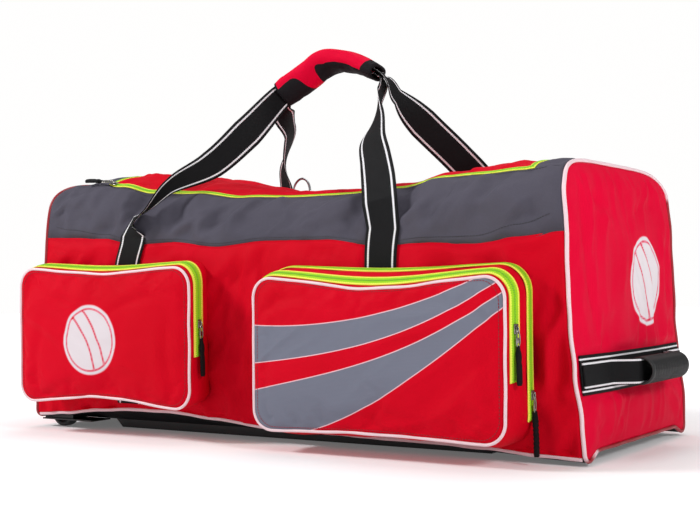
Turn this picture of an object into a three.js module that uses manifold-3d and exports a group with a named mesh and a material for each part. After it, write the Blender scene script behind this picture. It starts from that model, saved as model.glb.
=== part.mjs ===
// Wheeled kit bag of red and grey cloth, with two front pockets and webbing handles.
// Millimetres. +X runs to the end with the rubber grip, the pockets face -Y, +Z is up,
// and the origin is on the floor under the middle of the whole bag. Until the last lines the meshes
// are built about the middle of the cloth body instead.

import * as THREE from 'three';
import { mergeVertices } from 'three/addons/utils/BufferGeometryUtils.js';
import Module from 'manifold-3d';

// Body
const bodyLength = 944;
const bodyDepth = 392;
const bodyHeight = 390;
const clothWall = 2;
const cornerRadius = 14;
const baseClearance = 14;
const lidColumns = 16;
const stripColumnsLeft = 3;
const stripColumnsRight = 2;
const sideRows = 4;
const bandRows = 3;
const lidRows = 6;
const baseBreaks = [0, 0.8, 1];
const gap = 0.3;

// Piping and zips
const pipingRadius = 3.4;
const pipingSink = 1.8;
const pocketPipingRadius = 2.6;
const pocketPipingSink = 1.3;
const pocketSeat = 0.8;
const footSag = 0.3;
const pipingSides = 5;
const zipTapeWidth = 9.4;
const zipTapeThickness = 1;
const zipEnd = 0.36;
const rearZipEnd = 0.1;
const backZipEnd = { left: 0.8, right: 0.4 };

// Webbing handles
const webbingWidth = 50;
const webbingThickness = 1.8;
const strapSeat = 1.2;
const frontStrapLeft = -268;
const frontStrapRight = 184;
const rearStrapLeft = -262;
const rearStrapRight = 176;
const gripWebbingWidth = 38;
const gripLength = 176;
const gripCentre = -27;
const gripTopHeight = 572;
const gripArch = 42;
const gripWidth = 52;
const gripHeight = 28;
const gripPadding = 5;
const gripRoom = 2.6;
const gripMouth = 5;
const gripParting = 2;
const legMeet = 0.71;
const strapTop = 302;
const strapFoot = 46;
const strapSteps = 9;
const legSteps = 3;
const gripSteps = 10;

// Handle on the right end
const endWebbingHeight = 112;
const endWebbingWidth = 50;
const endStrapWidth = 34;
const endStrapThickness = 3;
const endGripLength = 148;
const endGripDiameter = 37;
const endGripStandoff = 31;
const endGripSlot = 8;
const endSlotClearance = 0.8;
const endStrapSwing = 34;
const endWebbingClear = 1.2;
const endInset = 4;

// Wheels, housings and skids
const wheelRadius = 24;
const wheelWidth = 18;
const wheelFromEnd = 38;
const wheelFromSide = 30;
const wheelX = wheelFromEnd - bodyLength / 2;
const wheelY = bodyDepth / 2 - wheelFromSide;
const axleRadius = 4;
const axleClearance = 0.6;
const wheelRoom = 4;
const housingWall = 2.5;
const housingFlange = 6;
const housingReach = 46;
const flangeThickness = 2;
const skidFromSide = 68;
const skidY = bodyDepth / 2 - skidFromSide;
const skidWidth = 18;
const skidFromLeftEnd = 120;
const skidFromRightEnd = 142;
const skidStart = skidFromLeftEnd - bodyLength / 2;
const skidEnd = bodyLength / 2 - skidFromRightEnd;
const skidSlant = 14;

// D-ring
const ringFromStrap = 85;
const ringX = rearStrapLeft + ringFromStrap;
const ringWidth = 36;
const ringRise = 34;
const ringBar = 8;
const ringWire = 2.2;
const ringInset = 2;
const ringLeanBack = 0.1;
const ringTabWidth = 22;
const tabSeat = 1.4;

// Zip sliders and pulls
const sliderLength = 13;
const sliderWidth = 8;
const sliderHeight = 5;
const pullThickness = 2;
const seatLift = 0.1;
const pullDrop = 7.1;
const lidSliderShare = 0.02;
const lidPullLength = 40;
const lidPullWidth = 7;
const lidPullDrop = 12;
const lidPullLift = 3;

// Sections of the body along its length. Column at is the share of the half length. The others
// are shares of bodyHeight: hem is the lowest point of the front edge, spring is where the side
// starts to curve in, crest is the ridge, sag is how far the lid hangs below it, seam and zip are
// the heights of the grey band's edges. Square is the exponent of the curved shoulder.
const sections = [
  { at: -1.00, hem: 0.040, spring: 0.76, crest: 1.010, sag: 0.000, seam: 0.778, zip: 0.990, square: 5.0 },
  { at: -0.88, hem: 0.050, spring: 0.73, crest: 1.030, sag: 0.000, seam: 0.776, zip: 1.005, square: 4.4 },
  { at: -0.72, hem: 0.070, spring: 0.70, crest: 1.042, sag: 0.000, seam: 0.768, zip: 0.985, square: 3.8 },
  { at: -0.58, hem: 0.080, spring: 0.67, crest: 1.024, sag: 0.004, seam: 0.742, zip: 0.955, square: 3.2 },
  { at: -0.42, hem: 0.080, spring: 0.66, crest: 0.996, sag: 0.010, seam: 0.748, zip: 0.950, square: 3.0 },
  { at: -0.22, hem: 0.064, spring: 0.64, crest: 0.970, sag: 0.022, seam: 0.727, zip: 0.930, square: 2.9 },
  { at: -0.02, hem: 0.044, spring: 0.64, crest: 0.958, sag: 0.030, seam: 0.744, zip: 0.926, square: 2.9 },
  { at: 0.20, hem: 0.040, spring: 0.64, crest: 0.958, sag: 0.028, seam: 0.742, zip: 0.926, square: 2.9 },
  { at: 0.40, hem: 0.034, spring: 0.64, crest: 0.968, sag: 0.020, seam: 0.716, zip: 0.934, square: 3.0 },
  { at: 0.56, hem: 0.032, spring: 0.66, crest: 0.988, sag: 0.008, seam: 0.722, zip: 0.960, square: 3.2 },
  { at: 0.72, hem: 0.026, spring: 0.68, crest: 0.998, sag: 0.000, seam: 0.714, zip: 0.957, square: 3.6 },
  { at: 0.86, hem: 0.014, spring: 0.72, crest: 1.002, sag: 0.000, seam: 0.734, zip: 0.962, square: 4.2 },
  { at: 1.00, hem: 0.010, spring: 0.75, crest: 0.996, sag: 0.000, seam: 0.748, zip: 0.968, square: 5.0 },
];

// Lean of the two ends: reach is the share of the half length at a share of bodyHeight.
const endLean = [
  { height: 0.00, right: 1.000, left: 1.000 },
  { height: 0.14, right: 0.996, left: 0.996 },
  { height: 0.30, right: 0.978, left: 0.980 },
  { height: 0.45, right: 0.966, left: 0.964 },
  { height: 0.75, right: 0.958, left: 0.940 },
  { height: 0.90, right: 0.948, left: 0.932 },
  { height: 1.05, right: 0.915, left: 0.900 },
];

// Soft dents and swells. At and height are shares of the half length and of bodyHeight, length and
// rise are the size of the dent in the same shares, and depth is a share of bodyDepth.
const dents = [
  { at: -0.48, height: 0.86, length: 0.09, rise: 0.06, depth: 0.014 },
  { at: -0.26, height: 0.82, length: 0.07, rise: 0.08, depth: 0.012 },
  { at: 0.06, height: 0.84, length: 0.12, rise: 0.05, depth: 0.008 },
  { at: 0.46, height: 0.78, length: 0.07, rise: 0.08, depth: 0.012 },
  { at: 0.76, height: 0.80, length: 0.08, rise: 0.07, depth: 0.010 },
  { at: -0.09, height: 0.40, length: 0.14, rise: 0.28, depth: -0.006 },
];

// Share of the half length where the lid's zip turns back over the top
const lidLeft = -0.79;
const lidRight = 0.895;
const frontBulge = 0.012;
const endBulge = 0.02;

// Pockets: width, height and corner are the face's outline, depth is how far it stands off the
// body, flare is how much wider the foot is, and puff is the swell of the face. Sag and lift are
// how far the middle of the top edge drops and of the bottom edge rises. Seams are the shares of the
// depth at which the strips of the gusset meet.
const pockets = {
  left: {
    name: 'pocket_left', side: -1, centre: -272, bottom: 47, width: 340, height: 208, corner: 30,
    depth: 60, flare: -9, topFlare: 6, puff: 9, sag: 9, lift: 12, swell: 3,
    seams: [0, 0.5, 0.86, 1],
  },
  right: {
    name: 'pocket_right', side: -1, centre: 211, bottom: 29, width: 380, height: 209, corner: 30,
    depth: 75, flare: 4, topFlare: 14, puff: 10, sag: 15, lift: 4, swell: 4,
    seams: [0, 0.06, 0.34, 0.62, 0.92, 1],
  },
  back: {
    name: 'back_pocket', side: 1, centre: 30, bottom: 52, width: 800, height: 196, corner: 34,
    depth: 20, flare: 2, topFlare: 2, puff: 7, sag: 4, lift: 3, swell: 1,
    seams: [0, 0.25, 0.75, 1], overStraps: true,
  },
};

const wasm = await Module();
wasm.setup();

const halfLength = bodyLength / 2;
const halfDepth = bodyDepth / 2;
const pipingRoom = pipingRadius + pipingSink + gap;
const bag = new THREE.Group();

const finishes = {
  redCloth: { color: 0xc8102e, roughness: 0.75, metalness: 0 },
  endCloth: { color: 0xd8203c, roughness: 0.75, metalness: 0 },
  greyCloth: { color: 0x5a5862, roughness: 0.8, metalness: 0 },
  baseCloth: { color: 0x1a1a1c, roughness: 0.8, metalness: 0 },
  piping: { color: 0xf6e4e6, roughness: 0.5, metalness: 0 },
  zipTape: { color: 0xb4f03c, roughness: 0.7, metalness: 0 },
  webbing: { color: 0x18181a, roughness: 0.8, metalness: 0 },
  chrome: { color: 0xc8c8cc, roughness: 0.2, metalness: 1 },
  rubber: { color: 0x1c1c1e, roughness: 0.7, metalness: 0 },
  plastic: { color: 0x202022, roughness: 0.5, metalness: 0 },
};

// Value of one column of a table at a place, eased between its rows
function fromTable(rows, key, place, column) {
  const last = rows.length - 1;
  if (place <= rows[0][key]) {
    return rows[0][column];
  }
  if (place >= rows[last][key]) {
    return rows[last][column];
  }
  const after = rows.findIndex((row) => row[key] > place);
  const low = rows[after - 1];
  const high = rows[after];
  const share = (place - low[key]) / (high[key] - low[key]);
  return THREE.MathUtils.lerp(low[column], high[column], share * share * (3 - 2 * share));
}

function section(at, column) {
  return fromTable(sections, 'at', at, column);
}

// Reach of an end at a height
function endReach(side, height) {
  return halfLength * fromTable(endLean, 'height', height / bodyHeight, side > 0 ? 'right' : 'left');
}

function smooth(low, high, value) {
  return THREE.MathUtils.smoothstep(value, low, high);
}

// Front half of a cross-section. Level -2 is the middle of the base, -1 to 0 the rounded bottom
// edge, 0 to 1 the side, and 1 to 2 the shoulder up to the ridge. Returns y and z.
function profile(at, level) {
  const hem = section(at, 'hem') * bodyHeight;
  const spring = section(at, 'spring') * bodyHeight;
  const crest = section(at, 'crest') * bodyHeight;
  const sag = section(at, 'sag') * bodyHeight;
  const sideStart = hem + cornerRadius;
  if (level < -1) {
    const share = level + 2;
    const y = -(halfDepth - cornerRadius) * share;
    return [y, THREE.MathUtils.lerp(baseClearance, hem, smooth(baseBreaks[1], baseBreaks[2], share))];
  }
  if (level < 0) {
    const angle = (level + 1) * Math.PI / 2;
    return [
      -halfDepth + cornerRadius * (1 - Math.sin(angle)),
      sideStart - cornerRadius * Math.cos(angle),
    ];
  }
  const swell = (z) => frontBulge * bodyDepth * Math.sin(Math.PI * (z - sideStart) / (crest - sideStart));
  if (level < 1) {
    const z = THREE.MathUtils.lerp(sideStart, spring, level);
    return [-halfDepth - swell(z), z];
  }
  const angle = (level - 1) * Math.PI / 2;
  const power = 2 / section(at, 'square');
  const across = Math.cos(angle) ** power;
  const rise = Math.sin(angle) ** power;
  const height = THREE.MathUtils.lerp(spring, crest, rise);
  return [-(halfDepth + swell(height)) * across, height - sag * (1 - across ** 2) ** 2];
}

// Level of the shoulder or side at a height
function levelAt(at, height) {
  const spring = section(at, 'spring') * bodyHeight;
  const crest = section(at, 'crest') * bodyHeight;
  const sideStart = section(at, 'hem') * bodyHeight + cornerRadius;
  if (height < spring) {
    return (height - sideStart) / (spring - sideStart);
  }
  const share = Math.min(1, (height - spring) / (crest - spring));
  return 1 + Math.asin(share ** (section(at, 'square') / 2)) * 2 / Math.PI;
}

// Point of the outer skin: at runs along the bag, turn runs round it from the middle of the base
// (-2) up the front, over the ridge (2) and down the back (6). Inset draws both ends in.
function skinPoint(at, turn, inset) {
  const level = turn > 2 ? 4 - turn : turn;
  const mirror = turn > 2 ? -1 : 1;
  const [y, z] = profile(at, level);
  const reach = endReach(at, z) - inset;
  return new THREE.Vector3(at * reach, y * mirror, z);
}

function skinNormal(at, turn, inset) {
  const step = 0.002;
  const along = skinPoint(at + step, turn, inset).sub(skinPoint(at - step, turn, inset));
  const round = skinPoint(at, turn + step, inset).sub(skinPoint(at, turn - step, inset));
  return along.cross(round).normalize();
}

// Depth of the soft dents at a place on the skin
function dentDepth(at, height) {
  let depth = 0;
  for (const dent of dents) {
    const along = (at - dent.at) / dent.length;
    const up = (height / bodyHeight - dent.height) / dent.rise;
    depth += dent.depth * bodyDepth * Math.exp(-(along * along) - up * up);
  }
  return depth;
}

// Point at a height above the skin, with its dents
function onSkin(at, turn, offset, inset = 0) {
  const point = skinPoint(at, turn, inset);
  return point.addScaledVector(skinNormal(at, turn, inset), offset - dentDepth(at, point.z));
}

// Turn that lies a distance further round the skin
function turnBeyond(at, turn, distance) {
  const step = 0.01;
  const speed = skinPoint(at, turn + step, 0).distanceTo(skinPoint(at, turn - step, 0)) / (2 * step);
  return turn + distance / speed;
}

// Point over the side wall at a place: front for side -1, back for side 1
function onWall(side, x, z, offset) {
  const at = x / (endReach(x, z) - pipingRoom);
  const turn = side < 0 ? levelAt(at, z) : 4 - levelAt(at, z);
  return onSkin(at, turn, offset, pipingRoom);
}

// Closed mesh from points and triangles: shared points are merged, slivers dropped, faces turned out
function closedGeometry(points, triangles) {
  const positions = new Float32Array(points.length * 3);
  points.forEach((point, i) => point.toArray(positions, i * 3));
  const loose = new THREE.BufferGeometry();
  loose.setAttribute('position', new THREE.BufferAttribute(positions, 3));
  loose.setIndex(triangles);
  const merged = mergeVertices(loose, 1e-3);
  const kept = [];
  const index = merged.index.array;
  const place = merged.attributes.position;
  const corner = [new THREE.Vector3(), new THREE.Vector3(), new THREE.Vector3()];
  let volume = 0;
  for (let i = 0; i < index.length; i += 3) {
    const [a, b, c] = [index[i], index[i + 1], index[i + 2]];
    if (a !== b && b !== c && c !== a) {
      kept.push(a, b, c);
      corner[0].fromBufferAttribute(place, a);
      corner[1].fromBufferAttribute(place, b);
      corner[2].fromBufferAttribute(place, c);
      volume += corner[0].dot(corner[1].clone().cross(corner[2]));
    }
  }
  merged.setIndex(volume < 0 ? kept.reverse() : kept);
  merged.computeVertexNormals();
  return merged;
}

// Wall between two layers of one surface. At(u, v, layer) gives the points, u and v run from 0 to 1
// and layer is 0 outside and 1 inside. Closed says that u runs round a loop.
function wallGeometry(at, columns, rows, closed = false) {
  const points = [];
  const triangles = [];
  const count = closed ? columns : columns + 1;
  for (let layer = 0; layer < 2; layer += 1) {
    for (let i = 0; i < count; i += 1) {
      for (let j = 0; j <= rows; j += 1) {
        points.push(at(i / columns, j / rows, layer));
      }
    }
  }
  const id = (layer, i, j) => (layer * count + (i % count)) * (rows + 1) + j;
  const quad = (a, b, c, d) => triangles.push(a, b, c, a, c, d);
  for (let i = 0; i < columns; i += 1) {
    for (let j = 0; j < rows; j += 1) {
      quad(id(0, i, j), id(0, i + 1, j), id(0, i + 1, j + 1), id(0, i, j + 1));
      quad(id(1, i, j), id(1, i, j + 1), id(1, i + 1, j + 1), id(1, i + 1, j));
    }
    quad(id(0, i, 0), id(1, i, 0), id(1, i + 1, 0), id(0, i + 1, 0));
    quad(id(0, i, rows), id(0, i + 1, rows), id(1, i + 1, rows), id(1, i, rows));
  }
  if (!closed) {
    for (let j = 0; j < rows; j += 1) {
      quad(id(0, 0, j), id(0, 0, j + 1), id(1, 0, j + 1), id(1, 0, j));
      quad(id(0, columns, j), id(1, columns, j), id(1, columns, j + 1), id(0, columns, j + 1));
    }
  }
  return closedGeometry(points, triangles);
}

// Solid through a row of like sections, each a loop of points. Closed joins the last to the first.
// The two faces of a flat band are split along the same diagonal, so that a twisted one stays even.
function loftGeometry(rings, closed = false) {
  const sides = rings[0].length;
  const points = rings.flat();
  const triangles = [];
  const spans = closed ? rings.length : rings.length - 1;
  for (let i = 0; i < spans; i += 1) {
    const here = i * sides;
    const next = ((i + 1) % rings.length) * sides;
    for (let j = 0; j < sides; j += 1) {
      const k = (j + 1) % sides;
      if (sides === 4 && j === 2) {
        triangles.push(here + j, next + j, here + k, next + j, next + k, here + k);
      } else {
        triangles.push(here + j, next + j, next + k, here + j, next + k, here + k);
      }
    }
  }
  if (!closed) {
    const end = (rings.length - 1) * sides;
    for (let j = 1; j < sides - 1; j += 1) {
      triangles.push(0, j, j + 1);
      triangles.push(end, end + j + 1, end + j);
    }
  }
  return closedGeometry(points, triangles);
}

function add(name, geometry, finish) {
  const mesh = new THREE.Mesh(geometry, new THREE.MeshStandardMaterial(finishes[finish]));
  mesh.name = name;
  bag.add(mesh);
  return mesh;
}

// Round section of points about a centre, between two directions
function roundSection(centre, right, up, radius, sides, flatness = 1) {
  const ring = [];
  for (let k = 0; k < sides; k += 1) {
    const angle = (k + 0.5) * 2 * Math.PI / sides;
    ring.push(centre.clone()
      .addScaledVector(right, radius * Math.cos(angle))
      .addScaledVector(up, radius * flatness * Math.sin(angle)));
  }
  return ring;
}

// Flat section of a band from its two edges, thickened both ways along its normal
function bandSection(left, right, normal, thickness) {
  return [
    left.clone().addScaledVector(normal, -thickness / 2),
    right.clone().addScaledVector(normal, -thickness / 2),
    right.clone().addScaledVector(normal, thickness / 2),
    left.clone().addScaledVector(normal, thickness / 2),
  ];
}

// A closed mesh as a solid for joining and cutting, and back
function toSolid(geometry) {
  const bare = geometry.clone();
  bare.deleteAttribute('normal');
  bare.deleteAttribute('uv');
  const merged = mergeVertices(bare, 1e-4);
  return new wasm.Manifold(new wasm.Mesh({
    numProp: 3,
    vertProperties: new Float32Array(merged.attributes.position.array),
    triVerts: new Uint32Array(merged.index.array),
  }));
}

function fromSolid(solid) {
  const mesh = solid.getMesh();
  const geometry = new THREE.BufferGeometry();
  geometry.setAttribute('position', new THREE.BufferAttribute(new Float32Array(mesh.vertProperties), 3));
  geometry.setIndex(new THREE.BufferAttribute(new Uint32Array(mesh.triVerts), 1));
  geometry.computeVertexNormals();
  return geometry;
}

function boxAt(low, high) {
  const size = new THREE.Vector3().subVectors(high, low);
  const box = new THREE.BoxGeometry(size.x, size.y, size.z);
  return box.translate((low.x + high.x) / 2, (low.y + high.y) / 2, (low.z + high.z) / 2);
}

// Body panels

const bottomTurn = -0.5;
const bottomRoom = (pipingRadius + gap) / (cornerRadius - pipingSink) * 2 / Math.PI;

const lidEdge = zipTapeWidth / 2 + gap;
const shareOf = (distance) => distance / halfLength;
const spread = (low, high, count) => (
  Array.from({ length: count + 1 }, (_, i) => low + (high - low) * i / count)
);
const leftLines = spread(-1, lidLeft - shareOf(lidEdge), stripColumnsLeft);
const lidLines = spread(lidLeft + shareOf(lidEdge), lidRight - shareOf(lidEdge), lidColumns);
const rightLines = spread(lidRight + shareOf(lidEdge), 1, stripColumnsRight);
const bodyLines = [...leftLines, ...lidLines, ...rightLines];

// Panel of the body over a row of lines across it and between two lines round it
function bodyPanel(lines, rows, turnLow, turnHigh) {
  return wallGeometry((u, v, layer) => {
    const at = lines[Math.round(u * (lines.length - 1))];
    const turn = THREE.MathUtils.lerp(turnLow(at), turnHigh(at), v);
    return onSkin(at, turn, -layer * clothWall, pipingRoom);
  }, lines.length - 1, rows);
}

const seamTurn = (at) => levelAt(at, section(at, 'seam') * bodyHeight);
const zipTurn = (at) => levelAt(at, section(at, 'zip') * bodyHeight);
const mirrored = (line) => (at) => 4 - line(at);
const beyond = (line, distance) => (at) => turnBeyond(at, line(at), distance);

const sideFoot = () => bottomTurn + bottomRoom;
const baseFoot = () => bottomTurn - bottomRoom;
const sideHead = beyond(seamTurn, -gap / 2);
const bandFoot = beyond(seamTurn, gap / 2);
const bandHead = beyond(zipTurn, -lidEdge);
const stripFoot = beyond(zipTurn, -lidEdge + gap);
const lidFoot = beyond(zipTurn, lidEdge);

add('front_panel', bodyPanel(bodyLines, sideRows, sideFoot, sideHead), 'redCloth');
add('back_panel', bodyPanel(bodyLines, sideRows, mirrored(sideHead), mirrored(sideFoot)), 'redCloth');
add('shoulder_front', bodyPanel(bodyLines, bandRows, bandFoot, bandHead), 'greyCloth');
add('shoulder_rear', bodyPanel(bodyLines, bandRows, mirrored(bandHead), mirrored(bandFoot)), 'greyCloth');

const lidHem = mirrored(stripFoot);
add('lid_panel', bodyPanel(lidLines, lidRows, lidFoot, lidHem), 'redCloth');
add('top_strip_right', bodyPanel(rightLines, lidRows, stripFoot, lidHem), 'greyCloth');
add('top_strip_left', bodyPanel(leftLines, lidRows, stripFoot, lidHem), 'greyCloth');

// Zip of the lid: up from the rear seam at one end, along the front and back over the other end
function lidZip() {
  const half = zipTapeWidth / 2;
  const rings = [];
  const station = (atIn, turnIn, atOut, turnOut) => {
    const ring = [
      onSkin(atIn, turnIn, 0, pipingRoom),
      onSkin(atOut, turnOut, 0, pipingRoom),
      onSkin(atOut, turnOut, -zipTapeThickness, pipingRoom),
      onSkin(atIn, turnIn, -zipTapeThickness, pipingRoom),
    ];
    rings.push(ring);
  };
  const inner = beyond(zipTurn, half);
  const outer = beyond(zipTurn, -half + gap);
  const side = (lid, sign, share) => {
    const atIn = lid + sign * shareOf(half);
    const atOut = lid - sign * shareOf(half);
    const turnIn = THREE.MathUtils.lerp(share > 0 ? lidFoot(atIn) : inner(atIn), lidHem(atIn), share);
    const turnOut = THREE.MathUtils.lerp(share > 0 ? stripFoot(atOut) : outer(atOut), lidHem(atOut), share);
    station(atIn, turnIn, atOut, turnOut);
  };
  for (let i = lidRows; i >= 0; i -= 1) {
    side(lidLeft, 1, i / lidRows);
  }
  for (const at of lidLines.slice(1, -1)) {
    station(at, inner(at), at, outer(at));
  }
  for (let i = 0; i <= lidRows; i += 1) {
    side(lidRight, -1, i / lidRows);
  }
  return loftGeometry(rings);
}
add('lid_zip_tape', lidZip(), 'zipTape');

// Base, with a corner cut out of it round each wheel housing
const housingLow = new THREE.Vector3(
  wheelX - wheelRadius - wheelRoom - housingWall, wheelY - wheelWidth / 2 - wheelRoom - housingWall, 0,
);
const housingHigh = new THREE.Vector3(
  wheelX + wheelRadius + wheelRoom + housingWall, wheelY + wheelWidth / 2 + wheelRoom + housingWall,
  wheelRadius * 2 + wheelRoom + housingWall,
);
const flangeTop = baseClearance - gap;

function basePanel() {
  const round = wallGeometry((u, v, layer) => {
    const at = bodyLines[Math.round(u * (bodyLines.length - 1))];
    const row = Math.round(v * 2 * baseBreaks.length) - baseBreaks.length;
    const level = [...baseBreaks.map((share) => share - 2), baseFoot()][Math.abs(row)];
    const turn = row < 0 ? level : 4 - level;
    const point = skinPoint(at, turn, pipingRoom);
    return point.addScaledVector(skinNormal(at, turn, pipingRoom), -layer * clothWall);
  }, bodyLines.length - 1, 2 * baseBreaks.length);
  let solid = toSolid(round);
  for (const side of [-1, 1]) {
    const nearY = side * (housingLow.y - gap);
    const farY = side * (housingHigh.y + gap);
    const low = new THREE.Vector3(housingLow.x - gap, Math.min(nearY, farY), -wheelRadius);
    const high = new THREE.Vector3(housingHigh.x + gap, Math.max(nearY, farY), wheelRadius * 3);
    solid = solid.subtract(toSolid(boxAt(low, high)));
  }
  return fromSolid(solid);
}
add('base_panel', basePanel(), 'baseCloth');

// Ends of the body

// Turns at which the rows of the panels meet an end, from the middle of the base up to the ridge
function endTurns(side) {
  const rows = (low, high, count) => Array.from({ length: count }, (_, i) => low + (high - low) * i / count);
  return [
    ...baseBreaks.map((share) => share - 2),
    baseFoot(),
    bottomTurn,
    ...rows(sideFoot(), seamTurn(side), sideRows),
    ...rows(seamTurn(side), stripFoot(side), bandRows),
    ...rows(stripFoot(side), 2, lidRows / 2),
    2,
  ];
}

// Loop of an end's outline, up the front, over the top, down the back and along the base
function endLoop(side, inset, sink) {
  const front = endTurns(side);
  const whole = [...front, ...front.slice(1, -1).reverse().map((turn) => 4 - turn)];
  return whole.map((turn) => {
    const out = skinNormal(side, turn, 0);
    out.x = 0;
    out.normalize();
    const point = skinPoint(side, turn, 0).addScaledVector(out, -inset);
    point.x = side * (endReach(side, point.z) - sink);
    return { point, out };
  });
}

function endPanel(side) {
  const loop = endLoop(side, pipingRoom, 0);
  const centre = new THREE.Vector3(0, 0, bodyHeight / 2);
  return wallGeometry((u, v, layer) => {
    const { point } = loop[Math.round(u * loop.length) % loop.length];
    const place = centre.clone().lerp(point, v);
    const bulge = endBulge * bodyDepth * (1 - v * v);
    place.x = side * (endReach(side, place.z) + bulge - layer * clothWall);
    return place;
  }, loop.length, 3, true);
}

function endPiping(side) {
  const rings = endLoop(side, pipingSink, pipingSink).map(({ point, out }) => (
    roundSection(point, out, new THREE.Vector3(side, 0, 0), pipingRadius, pipingSides)
  ));
  return loftGeometry(rings, true);
}

function basePiping(side) {
  const rings = [];
  for (const at of bodyLines) {
    const turn = side < 0 ? bottomTurn : 4 - bottomTurn;
    const normal = skinNormal(at, turn, pipingRoom);
    const centre = skinPoint(at, turn, pipingRoom + gap).addScaledVector(normal, -pipingSink);
    const across = new THREE.Vector3(1, 0, 0).cross(normal).normalize();
    rings.push(roundSection(centre, across, normal, pipingRadius, pipingSides));
  }
  return loftGeometry(rings);
}

for (const [side, word] of [[1, 'right'], [-1, 'left']]) {
  add(`end_panel_${word}`, endPanel(side), 'endCloth');
  add(`end_piping_${word}`, endPiping(side), 'piping');
}
add('base_piping_front', basePiping(-1), 'piping');
add('base_piping_rear', basePiping(1), 'piping');

// Pockets

const pocketRoom = pocketPipingRadius + pocketPipingSink + gap;
const strapRoom = webbingThickness + strapSeat;

// Outline of a pocket drawn in by inset: up the left side, over the top, down the right, back along
// the bottom. Each point carries the outward direction in the plane of the face.
function pocketLoop(pocket, inset, topInset, sagShare) {
  const stepsUp = 3;
  const stepsAcross = 6;
  const stepsRound = 3;
  const halfWidth = pocket.width / 2 - inset;
  const low = pocket.bottom + inset;
  const high = pocket.bottom + pocket.height - topInset;
  const radius = pocket.corner - inset;
  const loop = [];
  const push = (x, z, outX, outZ) => {
    const hollow = Math.cos(Math.PI * x / (2 * halfWidth)) ** 2 * sagShare;
    const share = (z - low) / (high - low);
    const drop = hollow * (pocket.lift * (1 - share) - pocket.sag * share);
    loop.push({ x: pocket.centre + x, z: z + drop, outX, outZ });
  };
  const corners = [
    { x: -1, top: 0, from: 1.5 }, { x: -1, top: 1, from: 1 },
    { x: 1, top: 1, from: 0.5 }, { x: 1, top: 0, from: 0 },
  ];
  const steps = [stepsUp, stepsAcross, stepsUp, stepsAcross];
  const centres = corners.map((corner) => [
    corner.x * (halfWidth - radius), corner.top ? high - radius : low + radius,
  ]);
  corners.forEach((corner, k) => {
    const [x, z] = centres[k];
    for (let i = 0; i < stepsRound; i += 1) {
      const angle = Math.PI * (corner.from - 0.5 * i / stepsRound);
      push(x + radius * Math.cos(angle), z + radius * Math.sin(angle), Math.cos(angle), Math.sin(angle));
    }
    const angle = Math.PI * (corner.from - 0.5);
    const next = centres[(k + 1) % 4];
    for (let i = 0; i < steps[k]; i += 1) {
      const share = i / steps[k];
      const startX = x + radius * Math.cos(angle);
      const startZ = z + radius * Math.sin(angle);
      const endX = next[0] + radius * Math.cos(angle);
      const endZ = next[1] + radius * Math.sin(angle);
      push(
        THREE.MathUtils.lerp(startX, endX, share), THREE.MathUtils.lerp(startZ, endZ, share),
        Math.cos(angle), Math.sin(angle),
      );
    }
  });
  return loop;
}

// Room that the handle's webbing needs under a pocket's edge
function wallGap(pocket, x) {
  const straps = pocket.side < 0 ? [frontStrapLeft, frontStrapRight] : [rearStrapLeft, rearStrapRight];
  const near = pocket.overStraps || straps.some((strap) => Math.abs(x - strap) < 1.5 * webbingWidth);
  return near ? strapRoom + pocketSeat : pocketSeat;
}

// Point of a pocket's gusset: i counts round the loop, share runs from the body to the face
function gussetPoint(pocket, loops, i, share, offset) {
  const face = loops.face[i % loops.face.length];
  const foot = loops.foot[i % loops.foot.length];
  const footY = onWall(pocket.side, foot.x, foot.z, 0).y + pocket.side * wallGap(pocket, foot.x);
  const faceY = pocket.side * (halfDepth + pocket.depth - pocketRoom);
  const swell = pocket.swell * Math.sin(Math.PI * share) + offset;
  return new THREE.Vector3(
    THREE.MathUtils.lerp(foot.x, face.x, share) + swell * face.outX,
    THREE.MathUtils.lerp(footY, faceY, share),
    THREE.MathUtils.lerp(foot.z, face.z, share) + swell * face.outZ,
  );
}

function seamShare(pocket, v) {
  return pocket.seams[Math.round(v * (pocket.seams.length - 1))];
}

function pocketGusset(pocket, loops) {
  return wallGeometry((u, v, layer) => (
    gussetPoint(pocket, loops, Math.round(u * loops.face.length), seamShare(pocket, v), -layer * clothWall)
  ), loops.face.length, pocket.seams.length - 1, true);
}

function pocketFace(pocket) {
  const loop = pocketLoop(pocket, pocketRoom, pocketRoom, 1);
  const centre = new THREE.Vector3(pocket.centre, 0, pocket.bottom + pocket.height / 2);
  const plane = halfDepth + pocket.depth;
  return wallGeometry((u, v, layer) => {
    const rim = loop[Math.round(u * loop.length) % loop.length];
    const place = centre.clone().lerp(new THREE.Vector3(rim.x, 0, rim.z), v);
    place.y = pocket.side * (plane + pocket.puff * (1 - v ** 3) - layer * clothWall);
    return place;
  }, loop.length, 3, true);
}

function pocketPiping(pocket) {
  const y = pocket.side * (halfDepth + pocket.depth - pocketPipingSink);
  const loop = pocketLoop(pocket, pocketPipingSink, pocketPipingSink, 1);
  const rings = loop.map((rim) => roundSection(
    new THREE.Vector3(rim.x, y, rim.z), new THREE.Vector3(rim.outX, 0, rim.outZ),
    new THREE.Vector3(0, pocket.side, 0), pocketPipingRadius, pipingSides,
  ));
  return loftGeometry(rings, true);
}

// Zip tape laid on one strip of the gusset, over the top and down to a height on each side
function pocketZip(pocket, loops, strip, leftEnd, rightEnd) {
  const [low, high] = pocket.seams.slice(strip, strip + 2);
  const count = loops.face.length;
  const middle = pocket.centre;
  const rings = [];
  for (let i = 0; i < count; i += 1) {
    const rim = loops.face[i];
    const height = (rim.z - pocket.bottom) / pocket.height;
    if (height > (rim.x < middle ? leftEnd : rightEnd)) {
      const lift = (offset, share) => gussetPoint(pocket, loops, i, share, offset);
      rings.push([
        lift(gap, low), lift(gap, high), lift(gap + zipTapeThickness, high), lift(gap + zipTapeThickness, low),
      ]);
    }
  }
  return loftGeometry(rings);
}

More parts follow.
